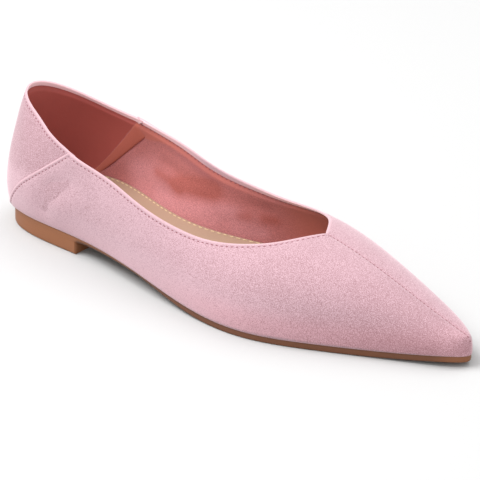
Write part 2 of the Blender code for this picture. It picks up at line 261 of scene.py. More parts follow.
# Edges of the sole, from the tread up: inset where the edge is free, share of the waist's bevel, height.
# Then the rows below the top: inset and drop. The heel's rows are inset and height, inset and drop.
SOLE_FOOT_ROWS = ((0.6, 1.0, 0.0), (0.3, 0.97, 0.08), (0.08, 0.85, 0.3), (0.0, 0.68, 0.6))
SOLE_TOP_ROWS = ((0.0, 0.9), (0.0, 0.45), (0.06, 0.15), (0.25, 0.0))
HEEL_FOOT_ROWS = ((0.8, 0.0), (0.4, 0.1), (0.1, 0.4), (0.0, 0.8))
HEEL_TOP_ROWS = ((0.0, 0.06), (0.0, 0.0))
HEEL_CLEAR = 0.02
FREE_RUN = (BREAST - 2.0, BREAST + 1.0)
WAIST_BEVEL = 0.7
WAIST_START = (BREAST + 2.0, BREAST + 7.0)
WAIST_END = (140.0, 95.0)

# Tones of the sole: the heel's colour behind the breast and at the tip, painted light along the top of its
# edge towards the waist, and painted shade lower on the edge at the waist
SOLE_BACK_RUN = (BREAST + 3.0, BREAST - 1.0)
SOLE_TIP_TONE = 0.6
SOLE_TIP_RUN = (LENGTH - 14.0, LENGTH - 4.0)
SOLE_LOWER = (1.0, 1.4)
SOLE_LIT_TOP_RUN = (115.0, 85.0)
DIM_START = (BREAST + 1.0, BREAST + 3.0)
DIM_END = (84.0, 60.0)

# The footbed's edge: share of its thickness and inset, then its dish and the place of its stitches
FOOTBED_EDGE = ((0.0, 0.3), (0.5, 0.1), (0.80, 0.1), (0.92, 0.25), (0.98, 0.6), (1.0, 1.1))
FOOTBED_DISH = 0.5
FOOTBED_ROW_INSET = 0.9
FOOTBED_ROW_RUN = (4.0, 208.0)

# Ends of the suede's stitch rows: in places after the back seam, or in millimetres
ROW_AFTER_SEAM = 0.06
ROW_BEFORE_SEAM = 0.4
FAR_ROW_STOP = 15.0
SEAM_ROW_START = 9.0
SEAM_ROW_CLEAR = 0.8
INNER_ROW_DROP = LINING_GAP + 0.3
CENTRE_PITCH = 2.1
CENTRE_SKIPPED = 4

# Mesh counts, samples, crowding of rows and small steps
SEAM_COLUMNS = 70
COLLAR_COLUMNS = 190
TOE_COLUMNS = 90
SKIN_ROWS = 56
HIDDEN_ROWS = 10
HIDDEN_CROWD = 2.2
PANEL_ROWS = 44
RIM_ROWS = 8
LINING_ROWS = 40
COUNTER_COLUMNS = 80
FOREPART_COLUMNS = (60, 110, 40)
TAPE_COLUMNS = 61
TAPE_ROWS = 25
SOLE_COUNT = 150
SOLE_ACROSS = 24
HEEL_COUNT = 70
LINE_COUNT = 700
CENTRE_COUNT = 500
FOOTBED_LINE = 400
PLACE_SAMPLES = 4001
WALL_SAMPLES = 401
COLLAR_SAMPLES = 900
SEAM_SAMPLES = 300
SOLE_SAMPLES = 400
TAPE_SAMPLES = 1001
COLLAR_SEARCH = (1.5, 4.0, 1001)
INSET_SEARCH = (0.0, 0.6, 121)
SETTLE_ROUNDS = 14
SETTLE_CLEAR = 0.001
CENTRE_CLEAR = 0.02
LINING_CROWD = 1.4
TOE_CROWD = 1.35
END_CROWD = 0.45
LEAST_SQUARE = 0.4
CHUNK = 1500
SHARE_STEP = 1e-3
NUDGE = 1e-4
TINY = 1e-9
WELD = 2e-6
SLIVER = 1e-6

# Finishes with a fine grain, then depths in metres and shades of the naps and threads
FINISHES = {
    "counter_lining": dict(roughness=0.6, specular=0.3, pebble=1400.0, mottle=60.0, contrast=0.9),
    "tape": dict(roughness=0.65, specular=0.3, pebble=1400.0, mottle=80.0, contrast=0.9),
    "footbed_leather": dict(roughness=0.55, specular=0.35, pebble=1100.0, mottle=70.0, contrast=0.9),
    "sole_rubber": dict(roughness=0.55, specular=0.38, pebble=1600.0, mottle=90.0, contrast=0.88),
    "heel_stack": dict(roughness=0.55, specular=0.38, pebble=1600.0, mottle=90.0, contrast=0.88),
}
GRAIN_DEPTH = 0.0001
NAP_DEPTH = 0.0003
NAP_SHADE = 0.72
NAP_LIGHT = 1.1
THREAD_SHADE = 0.8

# The studio, in metres and watts
LIGHTS = {
    "key": ((-0.61, -0.517, 1.386), 32.5),
    "fill": ((0.848, -1.0, 0.918), 4.5),
    "rim": ((0.066, 0.797, 1.386), 8.0),
}
LAMP_SIZE = 1.2
FLOOR_SIZE = 6.0
FLOOR_DROP = 0.0001
FLOOR_TONE = 0.47
SENSOR = 36.0
NEAR_CLIP = 0.05
FAR_CLIP = 50.0


def column(name):
    """One named column of the two section tables, over the stations."""
    if name in COLUMNS:
        return np.array([row[COLUMNS.index(name)] for row in LAST.values()])
    return np.array([row[SOLE_COLUMNS.index(name)] for row in SOLE.values()])


def bends(knots, values):
    """Second derivatives of the natural cubic curve through the rows."""
    step = np.diff(knots)
    slope = np.diff(values) / step
    count = len(knots)
    matrix = np.eye(count)
    wanted = np.zeros(count)
    for i in range(1, count - 1):
        matrix[i, i - 1] = step[i - 1]
        matrix[i, i] = 2.0 * (step[i - 1] + step[i])
        matrix[i, i + 1] = step[i]
        wanted[i] = 6.0 * (slope[i] - slope[i - 1])
    return np.linalg.solve(matrix, wanted)


def spline(knots, values, bend, at):
    """Cubic curve through the rows with continuous curvature."""
    step = np.diff(knots)
    at = np.asarray(at, float)
    i = np.clip(np.searchsorted(knots, at) - 1, 0, len(knots) - 2)
    a = (knots[i + 1] - at) / step[i]
    b = 1.0 - a
    curve = (a**3 - a) * bend[i] + (b**3 - b) * bend[i + 1]
    return a * values[i] + b * values[i + 1] + curve * step[i] ** 2 / 6.0


def station_knots():
    """Spacing of the sections round the outline, so that the curve through them stays fair."""
    width = (column("right") + column("left")) / 2.0
    chord = np.hypot(np.diff(column("x")), np.diff(width))
    return np.concatenate([[0.0], np.cumsum(np.sqrt(chord))])


KNOTS = station_knots()


@functools.lru_cache(maxsize=None)
def mirrored(name, odd):
    """Knots, rows and bends of a column whose ends are mirrored, so the outline closes smoothly."""
    sign = -1.0 if odd else 1.0
    rows = column(name)
    end = KNOTS[-1]
    knots = np.concatenate([-KNOTS[3:0:-1], KNOTS, 2.0 * end - KNOTS[-2:-5:-1]])
    values = np.concatenate([sign * rows[3:0:-1], rows, sign * rows[-2:-5:-1]])
    return knots, values, bends(knots, values)


def along(name, k, odd=False):
    """A column at any place k between the stations."""
    return spline(*mirrored(name, odd), np.interp(k, np.arange(STATIONS), KNOTS))


def place_of(x):
    """The place k between the stations at a distance x from the back."""
    k = np.linspace(0.0, TIP, PLACE_SAMPLES)
    return float(np.interp(x, along("x", k), k))


def smooth_step(value):
    """Eased share between 0 and 1."""
    value = np.clip(value, 0.0, 1.0)
    return value * value * (3.0 - 2.0 * value)


def ramp(value, start, end):
    """Eased climb from 0 at start to 1 at end, which may lie on either side of it."""
    return smooth_step((value - start) / (end - start))


def bell(distance, width):
    """Soft hump: 1 at no distance, fading over the width."""
    return np.exp(-((distance / width) ** 2))


def unit(vectors):
    """The same directions with a length of 1."""
    return vectors / np.maximum(np.linalg.norm(vectors, axis=-1, keepdims=True), 1e-12)


CUT_PLACES = np.array(list(THROAT_CUT))
CUT_SHARES = np.array(list(THROAT_CUT.values()))
CUT_BENDS = bends(CUT_PLACES, CUT_SHARES)


def throat_share(x):
    """Share of the section that stands below the collar."""
    behind = np.clip(THROAT - x, 0.0, THROAT_REACH)
    share = spline(CUT_PLACES, CUT_SHARES, CUT_BENDS, behind)
    return np.where((behind <= 0.0) | (behind >= THROAT_REACH), 1.0, share)


def nose_drop(x):
    """Rounds the ridge down into the blunt front of the toe."""
    reach = np.clip((x - LENGTH + NOSE) / NOSE, 0.0, 1.0)
    return NOSE * (1.0 - np.sqrt(1.0 - reach**2))


def form(side, k, v):
    """Outer surface of the last: k runs from back to tip, v from the feather line to collar or ridge."""
    k, v = np.broadcast_arrays(np.asarray(k, float), np.asarray(v, float))
    x = along("x", k)
    y = along("right" if side < 0 else "left", k, odd=True)
    blend = np.clip((x - BLEND_START) / (BLEND_END - BLEND_START), 0.0, 1.0)
    blend = blend**3 * (blend * (6.0 * blend - 15.0) + 10.0)
    lean = along("lean_right" if side < 0 else "lean_left", k)
    lean = (1.0 - blend) * lean + blend * y
    swell = (1.0 - blend) * along("swell", k) - blend * y * (1.0 - ARCH_FILL)
    if side > 0:
        swell = swell + along("arch", k)
    crown = (1.0 - blend) * along("crown", k) + blend
    rise = along("rise", k) - nose_drop(x)
    t = v * throat_share(x)
    low = 3.0 * t * (1.0 - t) ** 2
    high = 3.0 * t**2 * (1.0 - t)
    out = low * along("bulge", k) + high * swell - t**3 * lean
    up = low * along("roll", k) * rise + high * crown * rise + t**3 * rise
    nx = np.minimum(x - HEEL_CENTRE, 0.0)
    ny = np.where(np.hypot(nx, y) < 1e-6, 1.0, y)
    length = np.hypot(nx, ny)
    return np.stack(
        [x + nx / length * out, side * (y + ny / length * out), along("feather", k) + up], -1
    )


def normal(side, k, v):
    """Outward normal of the form."""
    k, v = np.broadcast_arrays(np.asarray(k, float), np.asarray(v, float))
    near = np.minimum(k, TIP - TIP_SHARE)
    dk = form(side, near + NUDGE, v) - form(side, np.maximum(near - NUDGE, 0.0), v)
    dv = form(side, near, np.minimum(v + NUDGE, 1.0)) - form(side, near, np.maximum(v - NUDGE, 0.0))
    out = side * np.cross(dv, dk)
    ends = (k < TINY) | (k > TIP - TINY)
    out[..., 1] = np.where(ends, 0.0, out[..., 1])
    ridge = (v > 1.0 - TINY) & (along("x", k) >= THROAT - 1e-6)
    out[..., 1] = np.where(ridge, 0.0, out[..., 1])
    return unit(out)


def sunk(side, k, v, depth):
    """Points at a depth below the outer surface."""
    return form(side, k, v) - normal(side, k, v) * np.asarray(depth)[..., None]


def seam_height(point):
    """Height of the back panel's lower edge, seen from the side: it dives to the sole at the back."""
    x = point[..., 0]
    ease = np.clip(x / SEAM_EASE, 0.0, 1.0)
    ease = ease**2 * (3.0 - 2.0 * ease)
    x = x + np.where(point[..., 1] > 0.0, SEAM_BACK * ease, 0.0)
    line = SEAM_FOOT + SEAM_SLOPE * x - SEAM_DIVE * np.maximum(SEAM_BEND - x, 0.0) ** 2
    return SEAM_FLOOR + SEAM_SOFT * np.logaddexp(0.0, (line - SEAM_FLOOR) / SEAM_SOFT)


def tuck_height(point):
    """Height of the back panel's foot, which tucks under the front panel."""
    return seam_height(point) - PANEL_LAP


def tape_height(point):
    """Height of the lining's rear seam, seen from the side."""
    (x0, z0), (x1, z1) = TAPE_REAR
    return z0 + (point[..., 0] - x0) * (z1 - z0) / (x1 - x0)


def counter_height(point):
    """Height of the counter lining's foot, under the tape."""
    return tape_height(point) - COUNTER_LAP


def crossing(side, k, height):
    """Where a line seen from the side crosses each section, as a share of its wall."""
    v = np.linspace(0.0, 1.0, WALL_SAMPLES)
    found = []
    for place in np.atleast_1d(k):
        wall = form(side, place, v)
        found.append(np.interp(0.0, wall[:, 2] - height(wall), v))
    return np.array(found)


def crossing_end(side, height):
    """The place where a line seen from the side reaches the collar."""
    k = np.linspace(*COLLAR_SEARCH)
    top = form(side, k, 1.0)
    return float(np.interp(0.0, height(top) - top[:, 2], k))


def settle(side, k, v, target, axes=(0, 1, 2)):
    """The place on the form that lies closest to each target point, from a first guess."""
    k, v = np.array(k, float), np.array(v, float)
    axes = list(axes)
    for _ in range(SETTLE_ROUNDS):
        here = form(side, k, v)[..., axes]
        dk = (form(side, k + SHARE_STEP, v)[..., axes] - here) / SHARE_STEP
        dv = (form(side, k, v + SHARE_STEP)[..., axes] - here) / SHARE_STEP
        miss = target[..., axes] - here
        kk, kv, vv = (dk * dk).sum(-1), (dk * dv).sum(-1), (dv * dv).sum(-1)
        p, q = (miss * dk).sum(-1), (miss * dv).sum(-1)
        area = kk * vv - kv * kv + TINY
        k = np.clip(k + (vv * p - kv * q) / area, 0.0, TIP - SETTLE_CLEAR)
        v = np.clip(v + (kk * q - kv * p) / area, 0.0, 1.0)
    return k, v


def gap_to(points, line):
    """Distance of each point from a line given by close points."""
    flat = points.reshape(-1, 3)
    found = np.empty(len(flat))
    for i in range(0, len(flat), CHUNK):
        away = flat[i : i + CHUNK, None] - line[None]
        found[i : i + CHUNK] = np.sqrt((away**2).sum(-1).min(1))
    return found.reshape(points.shape[:-1])


def segment_gap(points, start, end):
    """Distance of each point from a straight segment."""
    start, end = np.array(start), np.array(end)
    way = end - start
    share = np.clip(((points - start) @ way) / (way @ way), 0.0, 1.0)
    return np.linalg.norm(points - start - share[..., None] * way, axis=-1)


def ahead_of_seam(point):
    """Distance ahead of the back panel's edge, seen from the side."""
    tilt = math.cos(math.atan(SEAM_SLOPE))
    return (seam_height(point) - point[..., 2]) * tilt


THROAT_PLACE = place_of(THROAT)
SEAM_PLACE = {side: crossing_end(side, seam_height) for side in (RIGHT, LEFT)}
COLLAR_PLACES = np.linspace(0.0, THROAT_PLACE, COLLAR_SAMPLES)
COLLAR_LINE = {side: form(side, COLLAR_PLACES, 1.0) for side in (RIGHT, LEFT)}


def seam_line(side):
    """Close points along the back seam."""
    k = np.linspace(0.0, SEAM_PLACE[side], SEAM_SAMPLES)
    return form(side, k, crossing(side, k, seam_height))


SEAM_LINE = {side: seam_line(side) for side in (RIGHT, LEFT)}


def length(name, description, value):
    """A small size in metres."""
    return bpy.props.FloatProperty(
        name=name, description=description, default=value, unit="LENGTH", precision=5
    )


def colour(name, description, value):
    """A colour as plain light values."""
    return bpy.props.FloatVectorProperty(
        name=name, description=description, default=value, size=3, min=0.0, max=1.0, subtype="COLOR"
    )


class FlatSizes(bpy.types.PropertyGroup):
    """Sizes of the sewn details."""

    suede: length("Suede", "Thickness of a suede panel", 0.001)
    rim: length("Rim", "Height of the collar's rolled edge", 0.0007)
    turn: length("Turn", "Depth of the folded edge at the collar", 0.00105)
    stitch: length("Stitch", "Pitch of the collar's stitches", 0.0025)
    collar_drop: length("Collar row", "Stitches below the collar's edge", 0.0013)
    seam_drop: length("Seam row", "Stitches ahead of the back seam", 0.0011)
    groove: length("Groove", "Depth of the centre seam", 0.0004)
    thread: length("Thread", "Half the thread's thickness", 0.00028)
    footbed_stitch: length("Footbed stitch", "Pitch of the footbed's stitches", 0.0032)


class FlatColours(bpy.types.PropertyGroup):
    """Colours of the finishes, as plain light values."""

    suede: colour("Suede", "Face of the suede", (0.50, 0.33, 0.37))
    suede_deep: colour("Suede shade", "Between the fibres of the suede", (0.29, 0.165, 0.185))
    fold: colour("Fold", "Folded edges of the suede", (0.54, 0.355, 0.39))
    # Painted highlight: far paler than the fold, so that the turned edge's inner face reads as lit where it
    # lies in shade
    turned: colour("Turned edge", "Suede turned over the collar to the inside", (0.95, 0.645, 0.685))
    lining: colour("Lining", "Napped lining of the forepart", (0.39, 0.11, 0.093))
    # Lit copy of the lining: painted light, partly its brushed nap
    lining_pale: colour("Brushed lining", "Lining where its nap is brushed up", (0.55, 0.226, 0.235))
    counter: colour("Counter", "Smooth lining behind the heel", (0.42, 0.10, 0.085))
    tape: colour("Tape", "Tape over the lining's seam", (0.465, 0.136, 0.099))
    footbed: colour("Footbed", "Face of the insole", (0.336, 0.221, 0.155))
    cream: colour("Cream", "Thread of the footbed", (0.70, 0.53, 0.31))
    # Painted shade: the dark of a needle hole, also painted into stitch grooves, the centre seam's groove,
    # the lining's edge and its creases
    hole: colour("Needle hole", "Inside of a needle hole", (0.22, 0.075, 0.09))
    sole: colour("Sole", "Edge of the outsole", (0.142, 0.052, 0.0225))
    # Painted shade low on the outsole's edge at the waist, under the arch
    waist: colour("Waist", "Stained edge of the outsole at the waist", (0.06, 0.022, 0.010))
    heel: colour("Heel", "Heel block", (0.262, 0.099, 0.040))


class FlatStage(bpy.types.PropertyGroup):
    """Camera and light."""

    azimuth: bpy.props.FloatProperty(
        name="Azimuth", description="Camera round the shoe", default=math.radians(40.3), subtype="ANGLE"
    )
    elevation: bpy.props.FloatProperty(
        name="Elevation", description="Camera above the floor", default=math.radians(24.84), subtype="ANGLE"
    )
    distance: bpy.props.FloatProperty(
        name="Distance", description="Camera from its target", default=1.65, unit="LENGTH"
    )
    lens: bpy.props.FloatProperty(
        name="Lens", description="Focal length in millimetres", default=272.7, unit="CAMERA"
    )
    target: bpy.props.FloatVectorProperty(
        name="Target",
        description="Point in the middle of the picture",
        default=(0.00065, 0.007075, 0.02),
        subtype="XYZ",
    )
    sky: bpy.props.FloatProperty(name="Sky", description="Strength of the white surround", default=0.90)


def mm(value):
    """Metres as millimetres."""
    return value / MM


def lay_patch(mesh, points, **marks):
    """A grid of quads laid on an array of points: columns, rows, xyz. Marks are values per point."""
    columns, rows = points.shape[0] - 1, points.shape[1] - 1
    made = bmesh.ops.create_grid(mesh, x_segments=columns, y_segments=rows, size=1.0)["verts"]
    layers = {name: mesh.verts.layers.float[name] for name in marks}
    for vert in made:
        i = round((vert.co.x + 1.0) / 2.0 * columns)
        j = round((vert.co.y + 1.0) / 2.0 * rows)
        vert.co = (points[i, j] - ORIGIN) * MM
        for name, values in marks.items():
            vert[layers[name]] = values[i, j]


def new_mesh(*marks):
    """An empty mesh with a layer for each mark."""
    mesh = bmesh.new()
    for name in marks:
        mesh.verts.layers.float.new(name)
    return mesh


def finish_piece(name, mesh, material, node, weld=True):
    """Welds the patches into closed bodies, links the piece under the root and hides the part of the solids
    that it replaces.
    """
    if weld:
        bmesh.ops.remove_doubles(mesh, verts=mesh.verts, dist=WELD)
        bmesh.ops.dissolve_degenerate(mesh, dist=SLIVER, edges=mesh.edges)
    bmesh.ops.recalc_face_normals(mesh, faces=mesh.faces)
    data = bpy.data.meshes.new(name)
    mesh.to_mesh(data)
    mesh.free()
    data.shade_smooth()
    data.materials.append(material)
    piece = bpy.data.objects.new(name, data)
    bpy.context.scene.collection.objects.link(piece)
    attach(piece, "root")
    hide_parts(node)


def creased(points):
    """Height of the listed creases at each point."""
    high = np.zeros(points.shape[:-1])
    for start, end, width, height in CREASES.values():
        high += height * bell(segment_gap(points, start, end), width)
    return high


def nap_lay_and_light(side, points, front):
    """Nap raised or stroked down, together with painted light and shade: paler at the foot and the quarter,
    deeper at the toe's outer side; on the back panel paler low and deeper high.
    """
    x, z = points[..., 0], points[..., 2]
    if not front:
        return BACK_RAISED_AND_LIT - BACK_STROKED_AND_SHADED * ramp(z, *BACK_CLIMB)
    raised = QUARTER_RAISED_AND_LIT * ramp(x, *QUARTER_RUN)
    raised += FOOT_RAISED_AND_LIT * ramp(z, *FOOT_CLIMB) * ramp(x, *FOOT_RUN)
    if side > 0:
        return raised
    return raised - TOE_STROKED_AND_SHADED * ramp(x, *TOE_RUN) * (1.0 - TIP_SPARED * ramp(x, *TIP_RUN))


def painted_shade_warmth(points):
    """Painted shade: where the suede is made redder, low on the wall, and more so ahead of the waist."""
    ahead = WARM_BACK + (1.0 - WARM_BACK) * ramp(points[..., 0], *WARM_RUN)
    return ramp(points[..., 2], *WARM_CLIMB) * ahead


def collar_gap(side, points):
    """Distance from the collar, for points behind the throat."""
    return np.where(points[..., 0] > THROAT, FAR_AWAY, gap_to(points, COLLAR_LINE[side]))


def skin(side, k, v, front, sizes):
    """The suede's face with its seams and creases, and its marks: folds, seams, the nap's tone with painted
    light and shade, and its redder foot of painted shade.
    """
    base = form(side, k, v)
    x, y = base[..., 0], base[..., 1]
    collar = collar_gap(side, base)
    row = bell(collar - mm(sizes.collar_drop), COLLAR_ROW_WIDTH)
    if side > 0:
        row = row * ramp(x, *FAR_ROW_END)
    fold = bell(collar, COLLAR_FOLD_WIDTH)
    # Painted shade in the stitch groove, and below, in the centre seam's groove
    seam = ROW_MARK * row
    high = creased(base) - COLLAR_ROW_DEPTH * row
    ahead = ahead_of_seam(base)
    if front:
        high += STEP_HEIGHT * bell(np.maximum(ahead, 0.0), STEP_FADE)
        edge = gap_to(base, SEAM_LINE[side])
        row = bell(edge - mm(sizes.seam_drop), SEAM_ROW_WIDTH)
        high += SEAM_LIP_HEIGHT * bell(edge, SEAM_LIP_WIDTH) - SEAM_ROW_DEPTH * row
        fold = np.maximum(fold, bell(edge, SEAM_FOLD_WIDTH))
        seam = np.maximum(seam, ROW_MARK * row)
        run = ramp(x, *GROOVE_START) * ramp(x, *GROOVE_END)
        high -= mm(sizes.groove) * bell(y, GROOVE_WIDTH) * run
        seam = np.maximum(seam, GROOVE_MARK * bell(y, GROOVE_MARK_WIDTH) * run)
    else:
        high -= PANEL_TUCK * ramp(ahead, *PANEL_TUCK_RUN)
    marks = dict(fold=fold, seam=seam, lay_and_light=nap_lay_and_light(side, base, front), warm=painted_shade_warmth(base))
    return base + normal(side, k, v) * high[..., None], marks


def top_spaced(rows, power=1.5):
    """Shares of a wall from foot to edge, closer together at the edge."""
    return 1.0 - (1.0 - np.linspace(0.0, 1.0, rows + 1)) ** power


def wall_grid(k, foot, top, shares):
    """Places and shares of a grid over the wall, from its foot to its top."""
    return np.broadcast_arrays(k[:, None], foot[:, None] + (top - foot)[:, None] * shares[None, :])


def edge_way(side, k, top):
    """Direction that leaves a panel across its top edge, within the surface."""
    course = np.gradient(form(side, k, top), axis=0)
    way = unit(np.cross(normal(side, k, top), course))
    rib = form(side, k, top) - form(side, k, top - SHARE_STEP)
    way = way * np.sign((way * rib).sum(1, keepdims=True))
    way[np.abs(k) < TINY, 1] = 0.0
    return unit(way)


def eased(values, count):
    """Mean over neighbouring columns, so that a corner turns over a few of them."""
    padded = np.concatenate([values[:1]] * count + [values] + [values[-1:]] * count)
    return unit(sum(padded[i : i + len(values)] for i in range(2 * count + 1)))


def rolled(edge, within, way, height):
    """A half round from the outer to the inner edge."""
    turn = np.linspace(0.0, math.pi, RIM_ROWS + 1)
    middle = (edge + within) / 2.0
    reach = edge - middle
    rows = [middle + reach * math.cos(a) + way * height * math.sin(a) for a in turn[1:-1]]
    return np.stack([edge] + rows + [within], axis=1)


def share_below(side, k, top, way, gap):
    """The share of the wall that lies a gap below its edge, square to that edge."""
    rib = (form(side, k, top) - form(side, k, top - SHARE_STEP)) / SHARE_STEP
    square = np.abs((rib * way).sum(1))
    return top - gap / np.maximum(square, LEAST_SQUARE * np.linalg.norm(rib, axis=1))


def front_places(side):
    """Columns of the front panel: along the back seam, the collar and the vamp's ridge."""
    seam = SEAM_PLACE[side]
    back = np.linspace(0.0, seam, SEAM_COLUMNS + 1)
    middle = np.linspace(seam, THROAT_PLACE, COLLAR_COLUMNS + 1)[1:]
    share = (1.0 - np.linspace(0.0, 1.0, TOE_COLUMNS + 1)[1:]) ** TOE_CROWD
    return np.concatenate([back, middle, TIP - (TIP - THROAT_PLACE) * share])


def painted_collar_highlight(points):
    """Painted highlight on the turned edge along the collar: least at the waist."""
    return 1.0 - bell(points[..., 0] - HIGHLIGHT_DIP_X, HIGHLIGHT_DIP_WIDTH)


def rim_marks(rim):
    """Marks of the rolled rim: a fold whose inner half is painted pale, a painted highlight."""
    inner = ramp(np.linspace(0.0, 1.0, RIM_ROWS + 1), *TURNED_CLIMB)
    return dict(fold=np.ones(rim.shape[:2]), turned=inner[None, :] * painted_collar_highlight(rim))


def turned_marks(side, back):
    """Marks of the suede that is turned over the collar to the inside, with its painted highlight."""
    band = np.exp(-((gap_to(back, COLLAR_LINE[side]) / TURNED_WIDTH) ** 4))
    return dict(fold=band, seam=TURNED_MARK * band, turned=band * painted_collar_highlight(back))


def build_front_panel(sizes, material):
    """Vamp and quarters: one sheet from the back seam round the toe, with a rolled collar."""
    mesh = new_mesh("fold", "seam", "lay_and_light", "warm", "turned")
    turn = mm(sizes.turn)
    for side in (RIGHT, LEFT):
        k = front_places(side)
        throat = SEAM_COLUMNS + COLLAR_COLUMNS
        foot, top = np.zeros(len(k)), np.ones(len(k))
        top[:SEAM_COLUMNS] = crossing(side, k[:SEAM_COLUMNS], seam_height)
        face, marks = skin(side, *wall_grid(k, foot, top, top_spaced(SKIN_ROWS)), True, sizes)
        lay_patch(mesh, face, **marks)
        # Rolled edge along the seam and the collar, turning from the one to the other at the corner
        edge_k, edge_top = k[: throat + 1], top[: throat + 1]
        way = edge_way(side, edge_k, edge_top)
        way[-1] = (-1.0, 0.0, 0.0)
        way = eased(way, 2)
        way[np.abs(edge_k) < TINY, 1] = 0.0
        way[-1] = (-1.0, 0.0, 0.0)
        on_collar = smooth_step((edge_k - SEAM_PLACE[side]) / CORNER_TURN)
        depth = (1.0 - on_collar) * (mm(sizes.suede) - STEP_HEIGHT) + on_collar * turn
        within = sunk(side, edge_k, edge_top, depth)
        rim = rolled(face[: throat + 1, -1], within, way, mm(sizes.rim))
        marks = rim_marks(rim)
        marks["turned"] = marks["turned"] * on_collar[:, None]
        lay_patch(mesh, rim, **marks)
        # Back of the sheet, hidden in the wall, and its lower edge
        depth = np.concatenate([depth, np.full(len(k) - throat - 1, turn)])
        grid = wall_grid(k, foot, top, top_spaced(HIDDEN_ROWS, HIDDEN_CROWD))
        back = sunk(side, *grid, depth[:, None])
        lay_patch(mesh, back, **turned_marks(side, back))
        lay_patch(mesh, np.stack([face[:, 0], back[:, 0]], axis=1))
    finish_piece("front_panel", mesh, material, "upper")


def build_back_panel(sizes, material):
    """The counter's suede, whose foot tucks under the front panel."""
    mesh = new_mesh("fold", "seam", "lay_and_light", "warm", "turned")
    turn = mm(sizes.turn)
    thick = mm(sizes.suede) + PANEL_BACK_GAP
    for side in (RIGHT, LEFT):
        k = np.linspace(0.0, crossing_end(side, tuck_height), SEAM_COLUMNS + 1)
        top = np.ones(len(k))
        foot = np.minimum(crossing(side, k, tuck_height), 1.0)
        foot[-1] = 1.0
        face, marks = skin(side, *wall_grid(k, foot, top, top_spaced(PANEL_ROWS)), False, sizes)
        lay_patch(mesh, face, **marks)
        rim = rolled(face[:, -1], sunk(side, k, top, turn), edge_way(side, k, top), mm(sizes.rim))
        lay_patch(mesh, rim, **rim_marks(rim))
        climb = top_spaced(HIDDEN_ROWS, HIDDEN_CROWD)
        depth = thick - (thick - turn) * climb
        back = sunk(side, *wall_grid(k, foot, top, climb), depth[None, :])
        lay_patch(mesh, back, **turned_marks(side, back))
        lay_patch(mesh, np.stack([face[:, 0], back[:, 0]], axis=1))
        closing = np.stack([rim[-1], rim[-1, ::-1]], axis=1)[: RIM_ROWS // 2 + 1]
        lay_patch(mesh, closing, fold=np.ones(closing.shape[:2]))
    finish_piece("back_panel", mesh, material, "upper")


def lining_thin(collar):
    """How far the lining is pressed flat, by the distance from the collar."""
    return bell(np.maximum(collar - LINING_GAP, 0.0), LINING_PRESS)


def lining_depth(collar, raised, sizes):
    """Depth of the lining's face below the suede's face."""
    full = WALL + raised + LINING_SKIN
    return full - (full - mm(sizes.turn) - LINING_SKIN) * lining_thin(collar)


def lining_brush_and_light(side, v, inside, x):
    """Share of the lining's paler colour, partly brushed nap and partly painted light: more at its foot, and
    by the listed tones.
    """
    brush_and_light = BRUSH_AND_LIGHT_FOOT * ramp(v, *BRUSH_CLIMB) * ramp(x, *BRUSH_START)
    brush_and_light = BRUSH_AND_LIGHT_WALL + brush_and_light * ramp(x, *BRUSH_END)
    if side > 0:
        for start, end, width, tone in LINING_TONES.values():
            brush_and_light = brush_and_light + tone * bell(segment_gap(inside, start, end), width)
    return brush_and_light


def lining_band(collar, x):
    """The smooth band below the collar, widest over the tape, and the smooth lining under the vamp."""
    width = BAND_WIDTH + BAND_SWELL * bell(x - BAND_MIDDLE, BAND_SPREAD)
    band = ramp(collar, width, width - BAND_FADE) * ramp(x, *BAND_RUN)
    return np.maximum(band, ramp(x, *BAND_VAMP))


def lining_face(side, k, v, raised, sizes):
    """Inside of the wall with its folds and the groove of the collar's stitches, and its marks, with painted
    shade at its edge, along its stitch row, below the collar and in a trough.
    """
    base = form(side, k, v)
    out = normal(side, k, v)
    inside = base - out * WALL
    x = base[..., 0]
    collar = collar_gap(side, base)
    row = bell(collar - mm(sizes.collar_drop) - LINING_ROW_DROP, LINING_ROW_WIDTH)
    edge = bell(collar - LINING_GAP, LINING_EDGE_WIDTH)
    # Painted shade below the collar round the waist
    collar_shade = bell(x - COLLAR_SHADE_MIDDLE, COLLAR_SHADE_WIDTH) * ramp(collar, *COLLAR_SHADE_FADE)
    deep = lining_depth(collar, raised, sizes) - LINING_ROW_DEPTH * row
    seam = np.maximum(LINING_ROW_MARK * row, LINING_EDGE_SHADE * edge)
    seam = np.maximum(seam, COLLAR_SHADE_MARK * collar_shade)
    if side > 0:
        for name, (start, end, width, height) in LINING_FOLDS.items():
            fold = bell(segment_gap(inside, start, end), width) * (1.0 - lining_thin(collar))
            deep = deep + height * fold
            # Painted shade in the front trough
            if name == "front_trough":
                seam = np.maximum(seam, TROUGH_SHADE * fold)
    marks = dict(seam=seam, brush_and_light=lining_brush_and_light(side, v, inside, x), band=lining_band(collar, x))
    return base - out * deep[..., None], marks


def lining_sheet(mesh, side, k, foot, top, raised, sizes, joined):
    """One side of a lining: face, back and the strips between them. joined names ends without a strip."""
    grid = wall_grid(k, foot, top, top_spaced(LINING_ROWS, LINING_CROWD))
    face, marks = lining_face(side, *grid, raised, sizes)
    back = sunk(side, *grid, mm(sizes.turn) + LINING_BACK_GAP)
    lay_patch(mesh, face, **marks)
    lay_patch(mesh, back)
    lay_patch(mesh, np.stack([face[:, 0], back[:, 0]], axis=1))
    count = len(k) if "ridge" not in joined else int(np.searchsorted(k, THROAT_PLACE)) + 1
    way = edge_way(side, k[:count], top[:count])
    rim = rolled(face[:count, -1], back[:count, -1], way, LINING_ROLL)
    # Painted shade on the lining's rolled edge, in the gap below the suede's fold
    lay_patch(mesh, rim, seam=np.full(rim.shape[:2], LINING_EDGE_SHADE))
    if "start" not in joined:
        lay_patch(mesh, np.stack([face[0], back[0]]))
    if "end" not in joined:
        lay_patch(mesh, np.stack([face[-1], back[-1]]))


def collar_below(side, k, gap):
    """Share of the wall a gap below the collar."""
    top = np.ones(len(k))
    return share_below(side, k, top, edge_way(side, k, top), gap)


